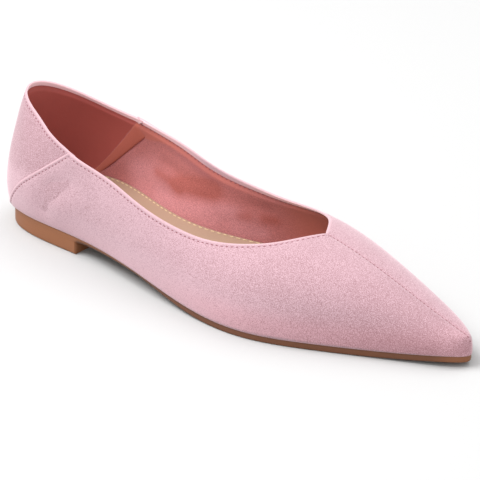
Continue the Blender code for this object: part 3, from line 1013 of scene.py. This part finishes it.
def build_linings(sizes, napped, smooth):
    """The smooth counter lining and the napped lining of the forepart."""
    counter = new_mesh("seam", "brush_and_light", "band")
    forepart = new_mesh("seam", "brush_and_light", "band")
    for side in (RIGHT, LEFT):
        k = np.linspace(0.0, crossing_end(side, counter_height), COUNTER_COLUMNS)
        top = collar_below(side, k, LINING_GAP)
        foot = np.minimum(np.minimum(crossing(side, k, counter_height), 1.0), top)
        lining_sheet(counter, side, k, foot, top, COUNTER_RAISED, sizes, ("start",))
        end = crossing_end(side, tape_height)
        rear, middle, front = FOREPART_COLUMNS
        k = np.concatenate([
            np.linspace(place_of(FOREPART_START), end, rear)[:-1],
            np.linspace(end, THROAT_PLACE, middle)[:-1],
            np.linspace(THROAT_PLACE, place_of(FOREPART_END), front),
        ])
        top = np.ones(len(k))
        behind = k < end
        top[behind] = crossing(side, k[behind], tape_height)
        open_part = k < THROAT_PLACE - 1e-6
        collar = collar_below(side, k[open_part], LINING_GAP)
        ease = smooth_step((THROAT_PLACE - k[open_part]) / THROAT_EASE)
        top[open_part] = np.minimum(top[open_part], 1.0 - (1.0 - collar) * ease)
        lining_sheet(forepart, side, k, np.zeros(len(k)), top, 0.0, sizes, ("ridge",))
    finish_piece("counter_lining", counter, smooth, "upper")
    finish_piece("forepart_lining", forepart, napped, "upper")


def build_tape(sizes, material):
    """The strip that covers the lining's seam on each side, its edges sunk into the lining."""
    mesh = new_mesh()
    t = np.linspace(0.0, 1.0, TAPE_COLUMNS)[:, None]
    u = np.linspace(0.0, 1.0, TAPE_ROWS)
    rear, ahead = ((1.0 - t) * np.array(a) + t * np.array(b) for a, b in (TAPE_REAR, TAPE_FRONT))
    spot = rear[:, None] * (1.0 - u[None, :, None]) + ahead[:, None] * u[None, :, None]
    target = np.stack([spot[..., 0], np.zeros(spot.shape[:2]), spot[..., 1]], -1)
    places = np.linspace(0.0, TIP, TAPE_SAMPLES)
    guess = np.interp(spot[..., 0], along("x", places), places)
    fade_start = TAPE_FADE_START[0] + TAPE_FADE_START[1] * u[None, :]
    fade_length = TAPE_FADE_LENGTH[0] + TAPE_FADE_LENGTH[1] * u[None, :]
    puff = TAPE_SEAT + TAPE_LIFT * np.sin(np.pi * u[None, :]) ** 0.5
    for side in (RIGHT, LEFT):
        k, v = settle(side, guess, np.full(guess.shape, 0.5), target, axes=(0, 2))
        collar = gap_to(form(side, k, v), COLLAR_LINE[side])
        lift = puff * smooth_step((collar - fade_start) / fade_length)
        face = sunk(side, k, v, lining_depth(collar, 0.0, sizes) - LINING_SKIN + lift)
        back = sunk(side, k, v, mm(sizes.turn) + TAPE_BACK_GAP)
        lay_patch(mesh, face)
        lay_patch(mesh, back)
        for end in (0, -1):
            lay_patch(mesh, np.stack([face[end], back[end]]))
        for edge in (0, -1):
            lay_patch(mesh, np.stack([face[:, edge], back[:, edge]], axis=1))
    finish_piece("lining_tape", mesh, material, "upper")


def edge_line(side, k, inset):
    """The feather line in plan, brought in by inset along its own normal."""
    name = "right" if side < 0 else "left"
    ahead, behind = np.minimum(k + NUDGE, TIP), np.maximum(k - NUDGE, 0.0)
    dx = along("x", ahead) - along("x", behind)
    dy = along(name, ahead, odd=True) - along(name, behind, odd=True)
    dx = np.where((k <= 0.0) | (k >= TIP), 0.0, dx)
    reach = np.hypot(dx, dy)
    x = along("x", k) + dy / reach * inset
    y = np.maximum(along(name, k, odd=True) - dx / reach * inset, 0.0)
    return x, side * y


def end_spaced(first, last, count):
    """Places closer together towards both ends of the outline."""
    share = (1.0 - np.cos(np.linspace(0.0, math.pi, count + 1))) / 2.0
    even = np.linspace(0.0, 1.0, count + 1)
    return first + (last - first) * (END_CROWD * share + (1.0 - END_CROWD) * even)


def edge_rows(k, profile):
    """Right and left edge points for each pair of inset and height."""
    rows = []
    for inset, height in profile:
        pair = []
        for i, side in enumerate((RIGHT, LEFT)):
            x, y = edge_line(side, k, inset[i] if isinstance(inset, tuple) else inset)
            pair.append(np.stack([x, y, height], axis=1))
        rows.append(pair)
    return rows


def no_marks(points):
    """Marks of a piece that has none."""
    return {}


def slab(mesh, rows, dish=0.0, marks=no_marks):
    """A closed sheet from rows of edge points: the first row bounds the underside, the last the top."""
    u = np.linspace(0.0, 1.0, SOLE_ACROSS + 1)
    across = u[None, :, None]
    sag = dish * (1.0 - (2.0 * u - 1.0) ** 4)
    for (right, left), drop in ((rows[0], 0.0 * u), (rows[-1], sag)):
        sheet = right[:, None] * (1.0 - across) + left[:, None] * across
        sheet[..., 2] -= drop[None, :]
        lay_patch(mesh, sheet, **marks(sheet))
    for place in (0, 1):
        wall = np.stack([row[place] for row in rows], axis=1)
        lay_patch(mesh, wall, **marks(wall))
    if abs(rows[0][0][-1][1] - rows[0][1][-1][1]) > 1e-6:
        front = [row[0][-1] * (1.0 - across[0]) + row[1][-1] * across[0] for row in rows]
        lay_patch(mesh, np.stack(front, axis=1))


def tread(k):
    """Underside of the sole, with its flat spot at the ball."""
    return np.maximum(along("tread", k), 0.0)


def sole_tone(points):
    """Marks of the sole: seam where it has the heel's colour, which along the top of the edge towards the
    waist is painted light; painted shade low on the edge at the waist.
    """
    x = points[..., 0]
    places = np.linspace(0.0, TIP, SOLE_SAMPLES)
    below = np.interp(x, along("x", places), along("feather", places)) - points[..., 2]
    behind = ramp(x, *SOLE_BACK_RUN)
    tip = SOLE_TIP_TONE * ramp(x, *SOLE_TIP_RUN)
    lower = ramp(below, *SOLE_LOWER)
    # Painted light: the heel's lighter colour along the top of the edge towards the waist
    upper = (1.0 - lower) * ramp(x, *SOLE_LIT_TOP_RUN)
    # Painted shade low on the edge at the waist, under the arch
    painted_waist_shade = ramp(x, *DIM_START) * ramp(x, *DIM_END) * lower
    return dict(seam=np.maximum(np.maximum(behind, tip), upper), painted_waist_shade=painted_waist_shade)


def build_outsole(material):
    """The thin sole with a softly rounded edge, bevelled at the waist."""
    mesh = new_mesh("seam", "painted_waist_shade")
    k = end_spaced(0.0, TIP, SOLE_COUNT)
    inset, top, low, x = along("inset", k), along("feather", k), tread(k), along("x", k)
    free = ramp(x, *FREE_RUN)
    waist = WAIST_BEVEL * ramp(x, *WAIST_START) * ramp(x, *WAIST_END)
    profile = [(inset + edge * free + bevel * waist, low + up) for edge, bevel, up in SOLE_FOOT_ROWS]
    profile += [(inset + edge, top - drop) for edge, drop in SOLE_TOP_ROWS]
    slab(mesh, edge_rows(k, profile), marks=sole_tone)
    finish_piece("sole", mesh, material, "outsole")


def build_heel(material):
    """The low block, flush with the sole, its breast's corners rounded."""
    mesh = new_mesh()
    k = end_spaced(0.0, place_of(BREAST), HEEL_COUNT)
    inset = along("inset", k) + HEEL_CLEAR
    profile = [(inset + edge, np.full(len(k), up)) for edge, up in HEEL_FOOT_ROWS]
    profile += [(inset + edge, tread(k) - drop) for edge, drop in HEEL_TOP_ROWS]
    slab(mesh, edge_rows(k, profile))
    finish_piece("heel_block", mesh, material, "heel")


def wall_inset(side, k, height):
    """How far the inside of the wall stands in from the feather line at a height above it."""
    place, share = np.broadcast_arrays(k[:, None], np.linspace(*INSET_SEARCH)[None, :])
    walls = sunk(side, place, share, WALL)
    start = np.stack(edge_line(side, k, 0.0), axis=1)
    inward = unit(np.stack(edge_line(side, k, 1.0), axis=1) - start)
    level = along("feather", k) + height
    found = []
    for wall, z, origin, way in zip(walls, level, start, inward):
        point = np.array([np.interp(z, wall[:, 2], wall[:, axis]) for axis in range(2)])
        found.append(float(np.dot(point - origin, way)))
    return np.array(found)


def footbed_edges(k):
    """Inset and height of the footbed's edge on both sides, from underside to top."""
    pad = along("pad", k)
    base = along("feather", k)
    rows = []
    for share, edge in FOOTBED_EDGE:
        fits = []
        for side in (RIGHT, LEFT):
            height = pad * share if share > 0.5 else 0.0 * pad
            fit = np.maximum(wall_inset(side, k, height), wall_inset(side, k, pad))
            fits.append(fit + edge)
        rows.append((tuple(fits), base + pad * share))
    return rows


def build_footbed(sizes, material, thread):
    """The insole with its row of cream stitches close to the edge."""
    mesh = new_mesh()
    k = end_spaced(0.0, TIP, SOLE_COUNT)
    slab(mesh, edge_rows(k, footbed_edges(k)), dish=FOOTBED_DISH)
    finish_piece("footbed", mesh, material, "insole")
    stitches = new_mesh()
    first, last = FOOTBED_ROW_RUN
    k = np.linspace(place_of(first), place_of(last), FOOTBED_LINE)
    up = np.tile([0.0, 0.0, 1.0], (len(k), 1))
    inset, height = footbed_edges(k)[-1]
    for i, side in enumerate((RIGHT, LEFT)):
        x, y = edge_line(side, k, inset[i] + FOOTBED_ROW_INSET)
        line = np.stack([x, y, height], axis=1)
        sew(stitches, line, up, mm(sizes.footbed_stitch), cover=0.66, width=0.29, height=0.2)
    finish_piece("footbed_stitches", stitches, thread, "insole", weld=False)


def sew(mesh, line, out, pitch, cover, width, height, offset=0.0, sink=0.0):
    """Short threads along a line of close points with their outward directions."""
    run = np.concatenate([[0.0], np.cumsum(np.linalg.norm(np.diff(line, axis=0), axis=1))])
    count = int(run[-1] / pitch)
    pitch = run[-1] / count
    row = bmesh.new()

    def at(values, place):
        """Point or direction at a distance along the line."""
        return np.array([np.interp(place, run, values[:, axis]) for axis in range(3)])

    for i in range(count):
        middle = (i + 0.5 + offset) * pitch
        if middle > run[-1]:
            continue
        start = at(line, middle - pitch * cover / 2.0)
        end = at(line, middle + pitch * cover / 2.0)
        up = unit(at(out, middle))
        centre = at(line, middle) - up * sink
        way = end - start
        half = np.linalg.norm(way) / 2.0
        way = unit(way)
        flat = unit(np.cross(up, way))
        matrix = Matrix.Identity(4)
        for axis, (vector, size) in enumerate(((flat, width), (up, height), (way, half))):
            matrix.col[axis] = (*(vector * size * MM), 0.0)
        matrix.col[3] = (*((centre - ORIGIN) * MM), 1.0)
        bmesh.ops.create_uvsphere(row, u_segments=8, v_segments=6, radius=1.0, matrix=matrix)
    data = bpy.data.meshes.new("row")
    row.to_mesh(data)
    row.free()
    mesh.from_mesh(data)
    bpy.data.meshes.remove(data)


def offset_row(side, k, top, drop):
    """Places on the form that follow an edge at a drop below it."""
    way = edge_way(side, k, top)
    target = form(side, k, top) - way * drop
    target[:, 1] = side * np.maximum(side * target[:, 1], 0.0)
    return settle(side, k, share_below(side, k, top, way, drop), target)


def suede_rows(side, collar, sizes):
    """Stitch rows of one side as places, shares and whether they lie on the front panel."""
    seam = SEAM_PLACE[side]
    drop = mm(sizes.collar_drop)
    top = np.ones(LINE_COUNT)
    yield (*offset_row(side, collar, top, drop), True)
    k, v = offset_row(side, np.linspace(0.0, seam, LINE_COUNT), top, drop)
    keep = ahead_of_seam(form(side, k, v)) < -ROW_BEFORE_SEAM
    yield k[keep], v[keep], False
    k = np.linspace(place_of(SEAM_ROW_START), seam, LINE_COUNT)
    k, v = offset_row(side, k, crossing(side, k, seam_height), mm(sizes.seam_drop))
    keep = gap_to(form(side, k, v), COLLAR_LINE[side]) > drop * SEAM_ROW_CLEAR
    yield k[keep], v[keep], True


def build_stitches(sizes, thread, dark):
    """Threads and needle holes round the collar, outside and inside, and along the seams; the holes are dark
    blobs of painted shade.
    """
    threads, holes = new_mesh(), new_mesh()
    pitch = mm(sizes.stitch)
    half = mm(sizes.thread)
    for side in (RIGHT, LEFT):
        last = THROAT_PLACE - NUDGE if side < 0 else place_of(THROAT - FAR_ROW_STOP)
        collar = np.linspace(SEAM_PLACE[side] + ROW_AFTER_SEAM, last, LINE_COUNT)
        for k, v, front in suede_rows(side, collar, sizes):
            line = skin(side, k, v, front, sizes)[0]
            out = normal(side, k, v)
            sew(threads, line, out, pitch, cover=0.50, width=half, height=half * 0.8, sink=0.02)
            sew(holes, line, out, pitch, cover=0.50, width=half * 1.05, height=0.10, offset=0.5, sink=-0.02)
        k, v = offset_row(side, collar, np.ones(LINE_COUNT), INNER_ROW_DROP)
        line = sunk(side, k, v, lining_depth(INNER_ROW_DROP, 0.0, sizes) + 0.05)
        sew(holes, line, -normal(side, k, v), pitch, cover=0.45, width=half, height=0.10)
    k = np.linspace(THROAT_PLACE, TIP - CENTRE_CLEAR, CENTRE_COUNT)
    ridge = np.ones(CENTRE_COUNT)
    line = skin(RIGHT, k, ridge, True, sizes)[0][CENTRE_SKIPPED:]
    line[:, 1] = 0.0
    out = normal(RIGHT, k, ridge)[CENTRE_SKIPPED:]
    sew(holes, line, out, CENTRE_PITCH, cover=0.42, width=0.28, height=0.09, sink=-0.03)
    finish_piece("stitches", threads, thread, "upper", weld=False)
    finish_piece("needle_holes", holes, dark, "upper", weld=False)


def node_of(tree, kind, **values):
    """A new shader node with some of its settings."""
    node = tree.nodes.new(kind)
    for name, value in values.items():
        setattr(node, name, value)
    return node


def feed(tree, socket, value):
    """Links a socket to a value that varies, or sets it to a plain number or colour."""
    if isinstance(value, bpy.types.NodeSocket):
        tree.links.new(value, socket)
    elif isinstance(value, (int, float)):
        socket.default_value = value
    else:
        socket.default_value = (*value, 1.0)


def effect_group(name, inputs):
    """A shader node group that takes named values and puts out a tone and a height."""
    group = bpy.data.node_groups.new(name, "ShaderNodeTree")
    group.interface.new_socket("Vector", in_out="INPUT", socket_type="NodeSocketVector")
    for label, value in inputs.items():
        socket = group.interface.new_socket(label, in_out="INPUT", socket_type="NodeSocketFloat")
        socket.default_value = value
    for label in ("Tone", "Height"):
        group.interface.new_socket(label, in_out="OUTPUT", socket_type="NodeSocketFloat")
    return group, group.nodes.new("NodeGroupInput").outputs, group.nodes.new("NodeGroupOutput").inputs


def math_node(tree, operation, first, second):
    """The sum, difference or product of two values."""
    node = node_of(tree, "ShaderNodeMath", operation=operation)
    feed(tree, node.inputs[0], first)
    feed(tree, node.inputs[1], second)
    return node.outputs[0]


def noise_node(tree, vector, scale, detail, roughness, distortion=0.0):
    """Soft noise between 0 and 1."""
    node = node_of(tree, "ShaderNodeTexNoise", noise_dimensions="3D")
    values = dict(Vector=vector, Scale=scale, Detail=detail, Roughness=roughness, Distortion=distortion)
    for name, value in values.items():
        feed(tree, node.inputs[name], value)
    return node.outputs["Fac"]


def nap_group():
    """Short brushed fibres: a fine speckle, small tufts and broad brushed clouds."""
    group, given, result = effect_group("brushed_nap", dict(Fibre=2600.0, Tuft=420.0, Cloud=45.0))
    vector = given["Vector"]
    fine = noise_node(group, vector, given["Fibre"], detail=1.0, roughness=0.6)
    tuft = noise_node(group, vector, given["Tuft"], detail=3.0, roughness=0.65, distortion=0.6)
    cloud = noise_node(group, vector, given["Cloud"], detail=2.0, roughness=0.5, distortion=1.2)
    speckles, tufts, clouds = (
        math_node(group, "MULTIPLY", math_node(group, "SUBTRACT", noise, 0.5), weight)
        for noise, weight in ((fine, 3.3), (tuft, 0.1), (cloud, 0.3))
    )
    small = math_node(group, "ADD", speckles, tufts)
    broad = math_node(group, "ADD", clouds, 0.5)
    group.links.new(math_node(group, "ADD", small, broad), result["Tone"])
    fine_height = math_node(group, "MULTIPLY", fine, 0.5)
    tuft_height = math_node(group, "MULTIPLY", tuft, 0.25)
    group.links.new(math_node(group, "ADD", fine_height, tuft_height), result["Height"])
    return group


def grain_group():
    """Fine pebbled grain with soft mottling, for smooth leather and rubber."""
    group, given, result = effect_group("fine_grain", dict(Pebble=900.0, Mottle=90.0))
    vector = given["Vector"]
    cell = node_of(group, "ShaderNodeTexVoronoi", feature="SMOOTH_F1")
    group.links.new(vector, cell.inputs["Vector"])
    group.links.new(given["Pebble"], cell.inputs["Scale"])
    mottle = noise_node(group, vector, given["Mottle"], detail=3.0, roughness=0.55)
    fine = noise_node(group, vector, given["Pebble"], detail=2.0, roughness=0.5)
    broad = math_node(group, "MULTIPLY", mottle, 0.7)
    small = math_node(group, "MULTIPLY", fine, 0.3)
    group.links.new(math_node(group, "ADD", broad, small), result["Tone"])
    group.links.new(cell.outputs["Distance"], result["Height"])
    return group


def shared_group(name, maker):
    """A node group, made when it is first asked for."""
    return bpy.data.node_groups.get(name) or maker()


def mix_colour(tree, share, first, second, blend="MIX"):
    """A colour between two others, by a share."""
    node = node_of(tree, "ShaderNodeMix", data_type="RGBA", blend_type=blend)
    for index, value in ((0, share), (6, first), (7, second)):
        feed(tree, node.inputs[index], value)
    return node.outputs[2]


def scaled(base, factor):
    """A darker or lighter shade of a colour."""
    return [min(1.0, value * factor) for value in base]


def new_material(name, roughness, specular=0.3, sheen=0.0, sheen_roughness=0.5, tint=(1.0, 1.0, 1.0)):
    """A material with the plain values of its shader set."""
    material = bpy.data.materials.new(name)
    material.use_nodes = True
    shader = material.node_tree.nodes["Principled BSDF"]
    shader.inputs["Roughness"].default_value = roughness
    shader.inputs["Specular IOR Level"].default_value = specular
    shader.inputs["Sheen Weight"].default_value = sheen
    shader.inputs["Sheen Roughness"].default_value = sheen_roughness
    shader.inputs["Sheen Tint"].default_value = (*tint, 1.0)
    return material, material.node_tree, shader


def place_group(tree, group, **values):
    """A node group placed in a material, on the piece's own coordinates."""
    node = node_of(tree, "ShaderNodeGroup", node_tree=group)
    coordinates = node_of(tree, "ShaderNodeTexCoord")
    tree.links.new(coordinates.outputs["Object"], node.inputs["Vector"])
    for name, value in values.items():
        node.inputs[name].default_value = value
    return node


def bump(tree, shader, height, strength, distance):
    """Low relief on a material."""
    node = node_of(tree, "ShaderNodeBump")
    node.inputs["Strength"].default_value = strength
    node.inputs["Distance"].default_value = distance
    tree.links.new(height, node.inputs["Height"])
    tree.links.new(node.outputs["Normal"], shader.inputs["Normal"])


def mark_of(tree, name, strength=None):
    """A mark of the mesh, as a share."""
    mark = node_of(tree, "ShaderNodeAttribute", attribute_name=name).outputs["Fac"]
    return mark if strength is None else math_node(tree, "MULTIPLY", mark, strength)


def suede_material(colours):
    """Brushed suede with painted light and shade over its nap, a redder foot of painted shade, pale folds, a
    turned edge with a painted highlight and dark seams of painted shade.
    """
    material, tree, shader = new_material(
        "pink_suede", roughness=0.95, specular=0.12, sheen=0.5, sheen_roughness=0.45, tint=(1.0, 0.86, 0.90)
    )
    nap = place_group(tree, shared_group("brushed_nap", nap_group))
    # Painted light and shade over the nap's tone: paler where the wall stands lit, deeper where it stands in
    # shade
    lay_and_light = math_node(tree, "ADD", nap.outputs["Tone"], mark_of(tree, "lay_and_light"))
    tone = mix_colour(tree, lay_and_light, colours.suede_deep, colours.suede)
    # Painted shade: redder low on the wall, where the suede lies in shade
    tone = mix_colour(tree, mark_of(tree, "warm"), tone, PAINTED_SHADE_TINT, "MULTIPLY")
    tone = mix_colour(tree, mark_of(tree, "fold", strength=0.65), tone, colours.fold)
    # Painted highlight on the turned edge
    tone = mix_colour(tree, mark_of(tree, "turned"), tone, colours.turned)
    # Painted shade in the stitch grooves and the centre seam's groove
    tone = mix_colour(tree, mark_of(tree, "seam", strength=0.30), tone, colours.hole)
    tree.links.new(tone, shader.inputs["Base Color"])
    bump(tree, shader, nap.outputs["Height"], strength=0.28, distance=NAP_DEPTH)
    return material


def lining_material(colours):
    """Napped lining with paler places of painted light and brushed nap, a smooth band, and dark seams and
    creases of painted shade.
    """
    material, tree, shader = new_material(
        "napped_lining", roughness=0.95, specular=0.15, sheen=0.15, sheen_roughness=0.5, tint=(1.0, 0.8, 0.8)
    )
    nap = place_group(tree, shared_group("brushed_nap", nap_group), Cloud=35.0)
    shades = [
        mix_colour(tree, nap.outputs["Tone"], scaled(base, NAP_SHADE), scaled(base, NAP_LIGHT))
        for base in (colours.lining, colours.lining_pale)
    ]
    tone = mix_colour(tree, mark_of(tree, "brush_and_light"), *shades)
    tone = mix_colour(tree, mark_of(tree, "band", strength=0.8), tone, colours.tape)
    tone = mix_colour(tree, mark_of(tree, "seam", strength=0.45), tone, colours.hole)
    tree.links.new(tone, shader.inputs["Base Color"])
    bump(tree, shader, nap.outputs["Height"], strength=0.3, distance=NAP_DEPTH)
    return material


def grained_material(name, base, seam=None, share=0.45, painted_waist_shade=None):
    """Smooth leather or rubber with a fine grain, and the colours of its seam mark and of its painted shade
    at the waist.
    """
    finish = FINISHES[name]
    material, tree, shader = new_material(name, finish["roughness"], finish["specular"])
    grain = place_group(
        tree, shared_group("fine_grain", grain_group), Pebble=finish["pebble"], Mottle=finish["mottle"]
    )
    dark, light = scaled(base, finish["contrast"]), scaled(base, 2.0 - finish["contrast"])
    tone = mix_colour(tree, grain.outputs["Tone"], dark, light)
    if seam is not None:
        tone = mix_colour(tree, mark_of(tree, "seam", strength=share), tone, seam)
    if painted_waist_shade is not None:
        tone = mix_colour(tree, mark_of(tree, "painted_waist_shade", strength=0.85), tone, painted_waist_shade)
    tree.links.new(tone, shader.inputs["Base Color"])
    bump(tree, shader, grain.outputs["Height"], strength=0.25, distance=GRAIN_DEPTH)
    return material


def thread_material(name, base):
    """Twisted thread, or the shade inside a needle hole."""
    material, tree, shader = new_material(name, roughness=0.7, specular=0.3, sheen=0.1)
    grain = place_group(tree, shared_group("fine_grain", grain_group), Pebble=3000.0, Mottle=600.0)
    tone = mix_colour(tree, grain.outputs["Tone"], scaled(base, THREAD_SHADE), base)
    tree.links.new(tone, shader.inputs["Base Color"])
    return material


def build_floor():
    """A plain pale floor."""
    mesh = bmesh.new()
    bmesh.ops.create_grid(mesh, x_segments=1, y_segments=1, size=FLOOR_SIZE)
    bmesh.ops.translate(mesh, verts=mesh.verts, vec=(0.0, 0.0, -FLOOR_DROP))
    data = bpy.data.meshes.new("floor")
    mesh.to_mesh(data)
    mesh.free()
    material, _, shader = new_material("white_floor", roughness=0.9, specular=0.1)
    shader.inputs["Base Color"].default_value = (FLOOR_TONE, FLOOR_TONE, FLOOR_TONE, 1.0)
    data.materials.append(material)
    floor = bpy.data.objects.new("floor", data)
    bpy.context.scene.collection.objects.link(floor)


def build_surround(strength):
    """An even white surround."""
    world = bpy.data.worlds.new("white_surround")
    world.use_nodes = True
    surround = world.node_tree.nodes["Background"]
    surround.inputs["Color"].default_value = (1.0, 1.0, 1.0, 1.0)
    surround.inputs["Strength"].default_value = strength
    bpy.context.scene.world = world


def add_light(name, place, power):
    """A large round lamp that points at the shoe."""
    lamp = bpy.data.lights.new(name, "AREA")
    lamp.shape = "DISK"
    lamp.size = LAMP_SIZE
    lamp.energy = power
    light = bpy.data.objects.new(name, lamp)
    light.location = place
    light.rotation_euler = (-Vector(place)).to_track_quat("-Z", "Y").to_euler()
    bpy.context.scene.collection.objects.link(light)


def add_camera(stage):
    """The camera, at its angles round the target."""
    scene = bpy.context.scene
    a, e = stage.azimuth, stage.elevation
    back = Vector((math.sin(a) * math.cos(e), -math.cos(a) * math.cos(e), math.sin(e)))
    camera = bpy.data.objects.new("camera", bpy.data.cameras.new("camera"))
    camera.data.lens = stage.lens
    camera.data.sensor_width = SENSOR
    camera.data.clip_start = NEAR_CLIP
    camera.data.clip_end = FAR_CLIP
    camera.location = Vector(stage.target) + back * stage.distance
    camera.rotation_euler = (-back).to_track_quat("-Z", "Y").to_euler()
    scene.collection.objects.link(camera)
    scene.camera = camera
    scene.view_settings.view_transform = "Standard"
    scene.view_settings.look = "None"


def settings():
    """The user's sizes, colours and stage."""
    scene = bpy.context.scene
    return scene.flat_sizes, scene.flat_colours, scene.flat_stage


class FLAT_OT_panels(bpy.types.Operator):
    """Make the suede panels of the upper"""

    bl_idname = "flat.panels"
    bl_label = "Suede panels"

    def execute(self, context):
        sizes, colours, _ = settings()
        suede = suede_material(colours)
        build_front_panel(sizes, suede)
        build_back_panel(sizes, suede)
        return {"FINISHED"}


class FLAT_OT_linings(bpy.types.Operator):
    """Make the linings and the tape over their seam"""

    bl_idname = "flat.linings"
    bl_label = "Linings"

    def execute(self, context):
        sizes, colours, _ = settings()
        smooth = grained_material("counter_lining", colours.counter, seam=colours.hole)
        tape = grained_material("tape", colours.tape)
        build_linings(sizes, lining_material(colours), smooth)
        build_tape(sizes, tape)
        return {"FINISHED"}


class FLAT_OT_stitches(bpy.types.Operator):
    """Sew the collar, the back seam and the centre seam"""

    bl_idname = "flat.stitches"
    bl_label = "Stitches"

    def execute(self, context):
        sizes, colours, _ = settings()
        thread = thread_material("pink_thread", colours.suede)
        dark = thread_material("needle_hole", colours.hole)
        build_stitches(sizes, thread, dark)
        return {"FINISHED"}


class FLAT_OT_footbed(bpy.types.Operator):
    """Make the insole and its stitches"""

    bl_idname = "flat.footbed"
    bl_label = "Footbed"

    def execute(self, context):
        sizes, colours, _ = settings()
        leather = grained_material("footbed_leather", colours.footbed)
        build_footbed(sizes, leather, thread_material("cream_thread", colours.cream))
        return {"FINISHED"}


class FLAT_OT_sole(bpy.types.Operator):
    """Make the outsole and the heel block"""

    bl_idname = "flat.sole"
    bl_label = "Sole and heel"

    def execute(self, context):
        _, colours, _ = settings()
        rubber = grained_material(
            "sole_rubber", colours.sole, seam=colours.heel, share=1.0, painted_waist_shade=colours.waist
        )
        build_outsole(rubber)
        build_heel(grained_material("heel_stack", colours.heel))
        return {"FINISHED"}


class FLAT_OT_stage(bpy.types.Operator):
    """Set the floor, the light and the camera"""

    bl_idname = "flat.stage"
    bl_label = "Stage"

    def execute(self, context):
        _, _, stage = settings()
        build_floor()
        build_surround(stage.sky)
        for name, (place, power) in LIGHTS.items():
            add_light(name, place, power)
        add_camera(stage)
        return {"FINISHED"}


class FLAT_PT_panel(bpy.types.Panel):
    """Lists the steps that dress the shoe"""

    bl_idname = "FLAT_PT_panel"
    bl_label = "Ballet flat"
    bl_space_type = "VIEW_3D"
    bl_region_type = "UI"
    bl_category = "Ballet flat"

    def draw(self, context):
        for operator in OPERATORS:
            self.layout.operator(operator.bl_idname)
        for group in settings():
            for name in group.bl_rna.properties.keys():
                if name not in ("rna_type", "name"):
                    self.layout.prop(group, name)


OPERATORS = (
    FLAT_OT_panels,
    FLAT_OT_linings,
    FLAT_OT_stitches,
    FLAT_OT_footbed,
    FLAT_OT_sole,
    FLAT_OT_stage,
)
CLASSES = (FlatSizes, FlatColours, FlatStage, *OPERATORS, FLAT_PT_panel)


def register():
    """Registers the classes and hangs the settings on the scene."""
    for item in CLASSES:
        bpy.utils.register_class(item)
    bpy.types.Scene.flat_sizes = bpy.props.PointerProperty(type=FlatSizes)
    bpy.types.Scene.flat_colours = bpy.props.PointerProperty(type=FlatColours)
    bpy.types.Scene.flat_stage = bpy.props.PointerProperty(type=FlatStage)


def unregister():
    """Undoes register."""
    del bpy.types.Scene.flat_stage
    del bpy.types.Scene.flat_colours
    del bpy.types.Scene.flat_sizes
    for item in reversed(CLASSES):
        bpy.utils.unregister_class(item)


def main():
    """Dresses the frame piece by piece."""
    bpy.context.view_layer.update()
    register()
    bpy.ops.flat.panels()
    bpy.ops.flat.linings()
    bpy.ops.flat.stitches()
    bpy.ops.flat.footbed()
    bpy.ops.flat.sole()
    bpy.ops.flat.stage()


if __name__ == "__main__":
    main()
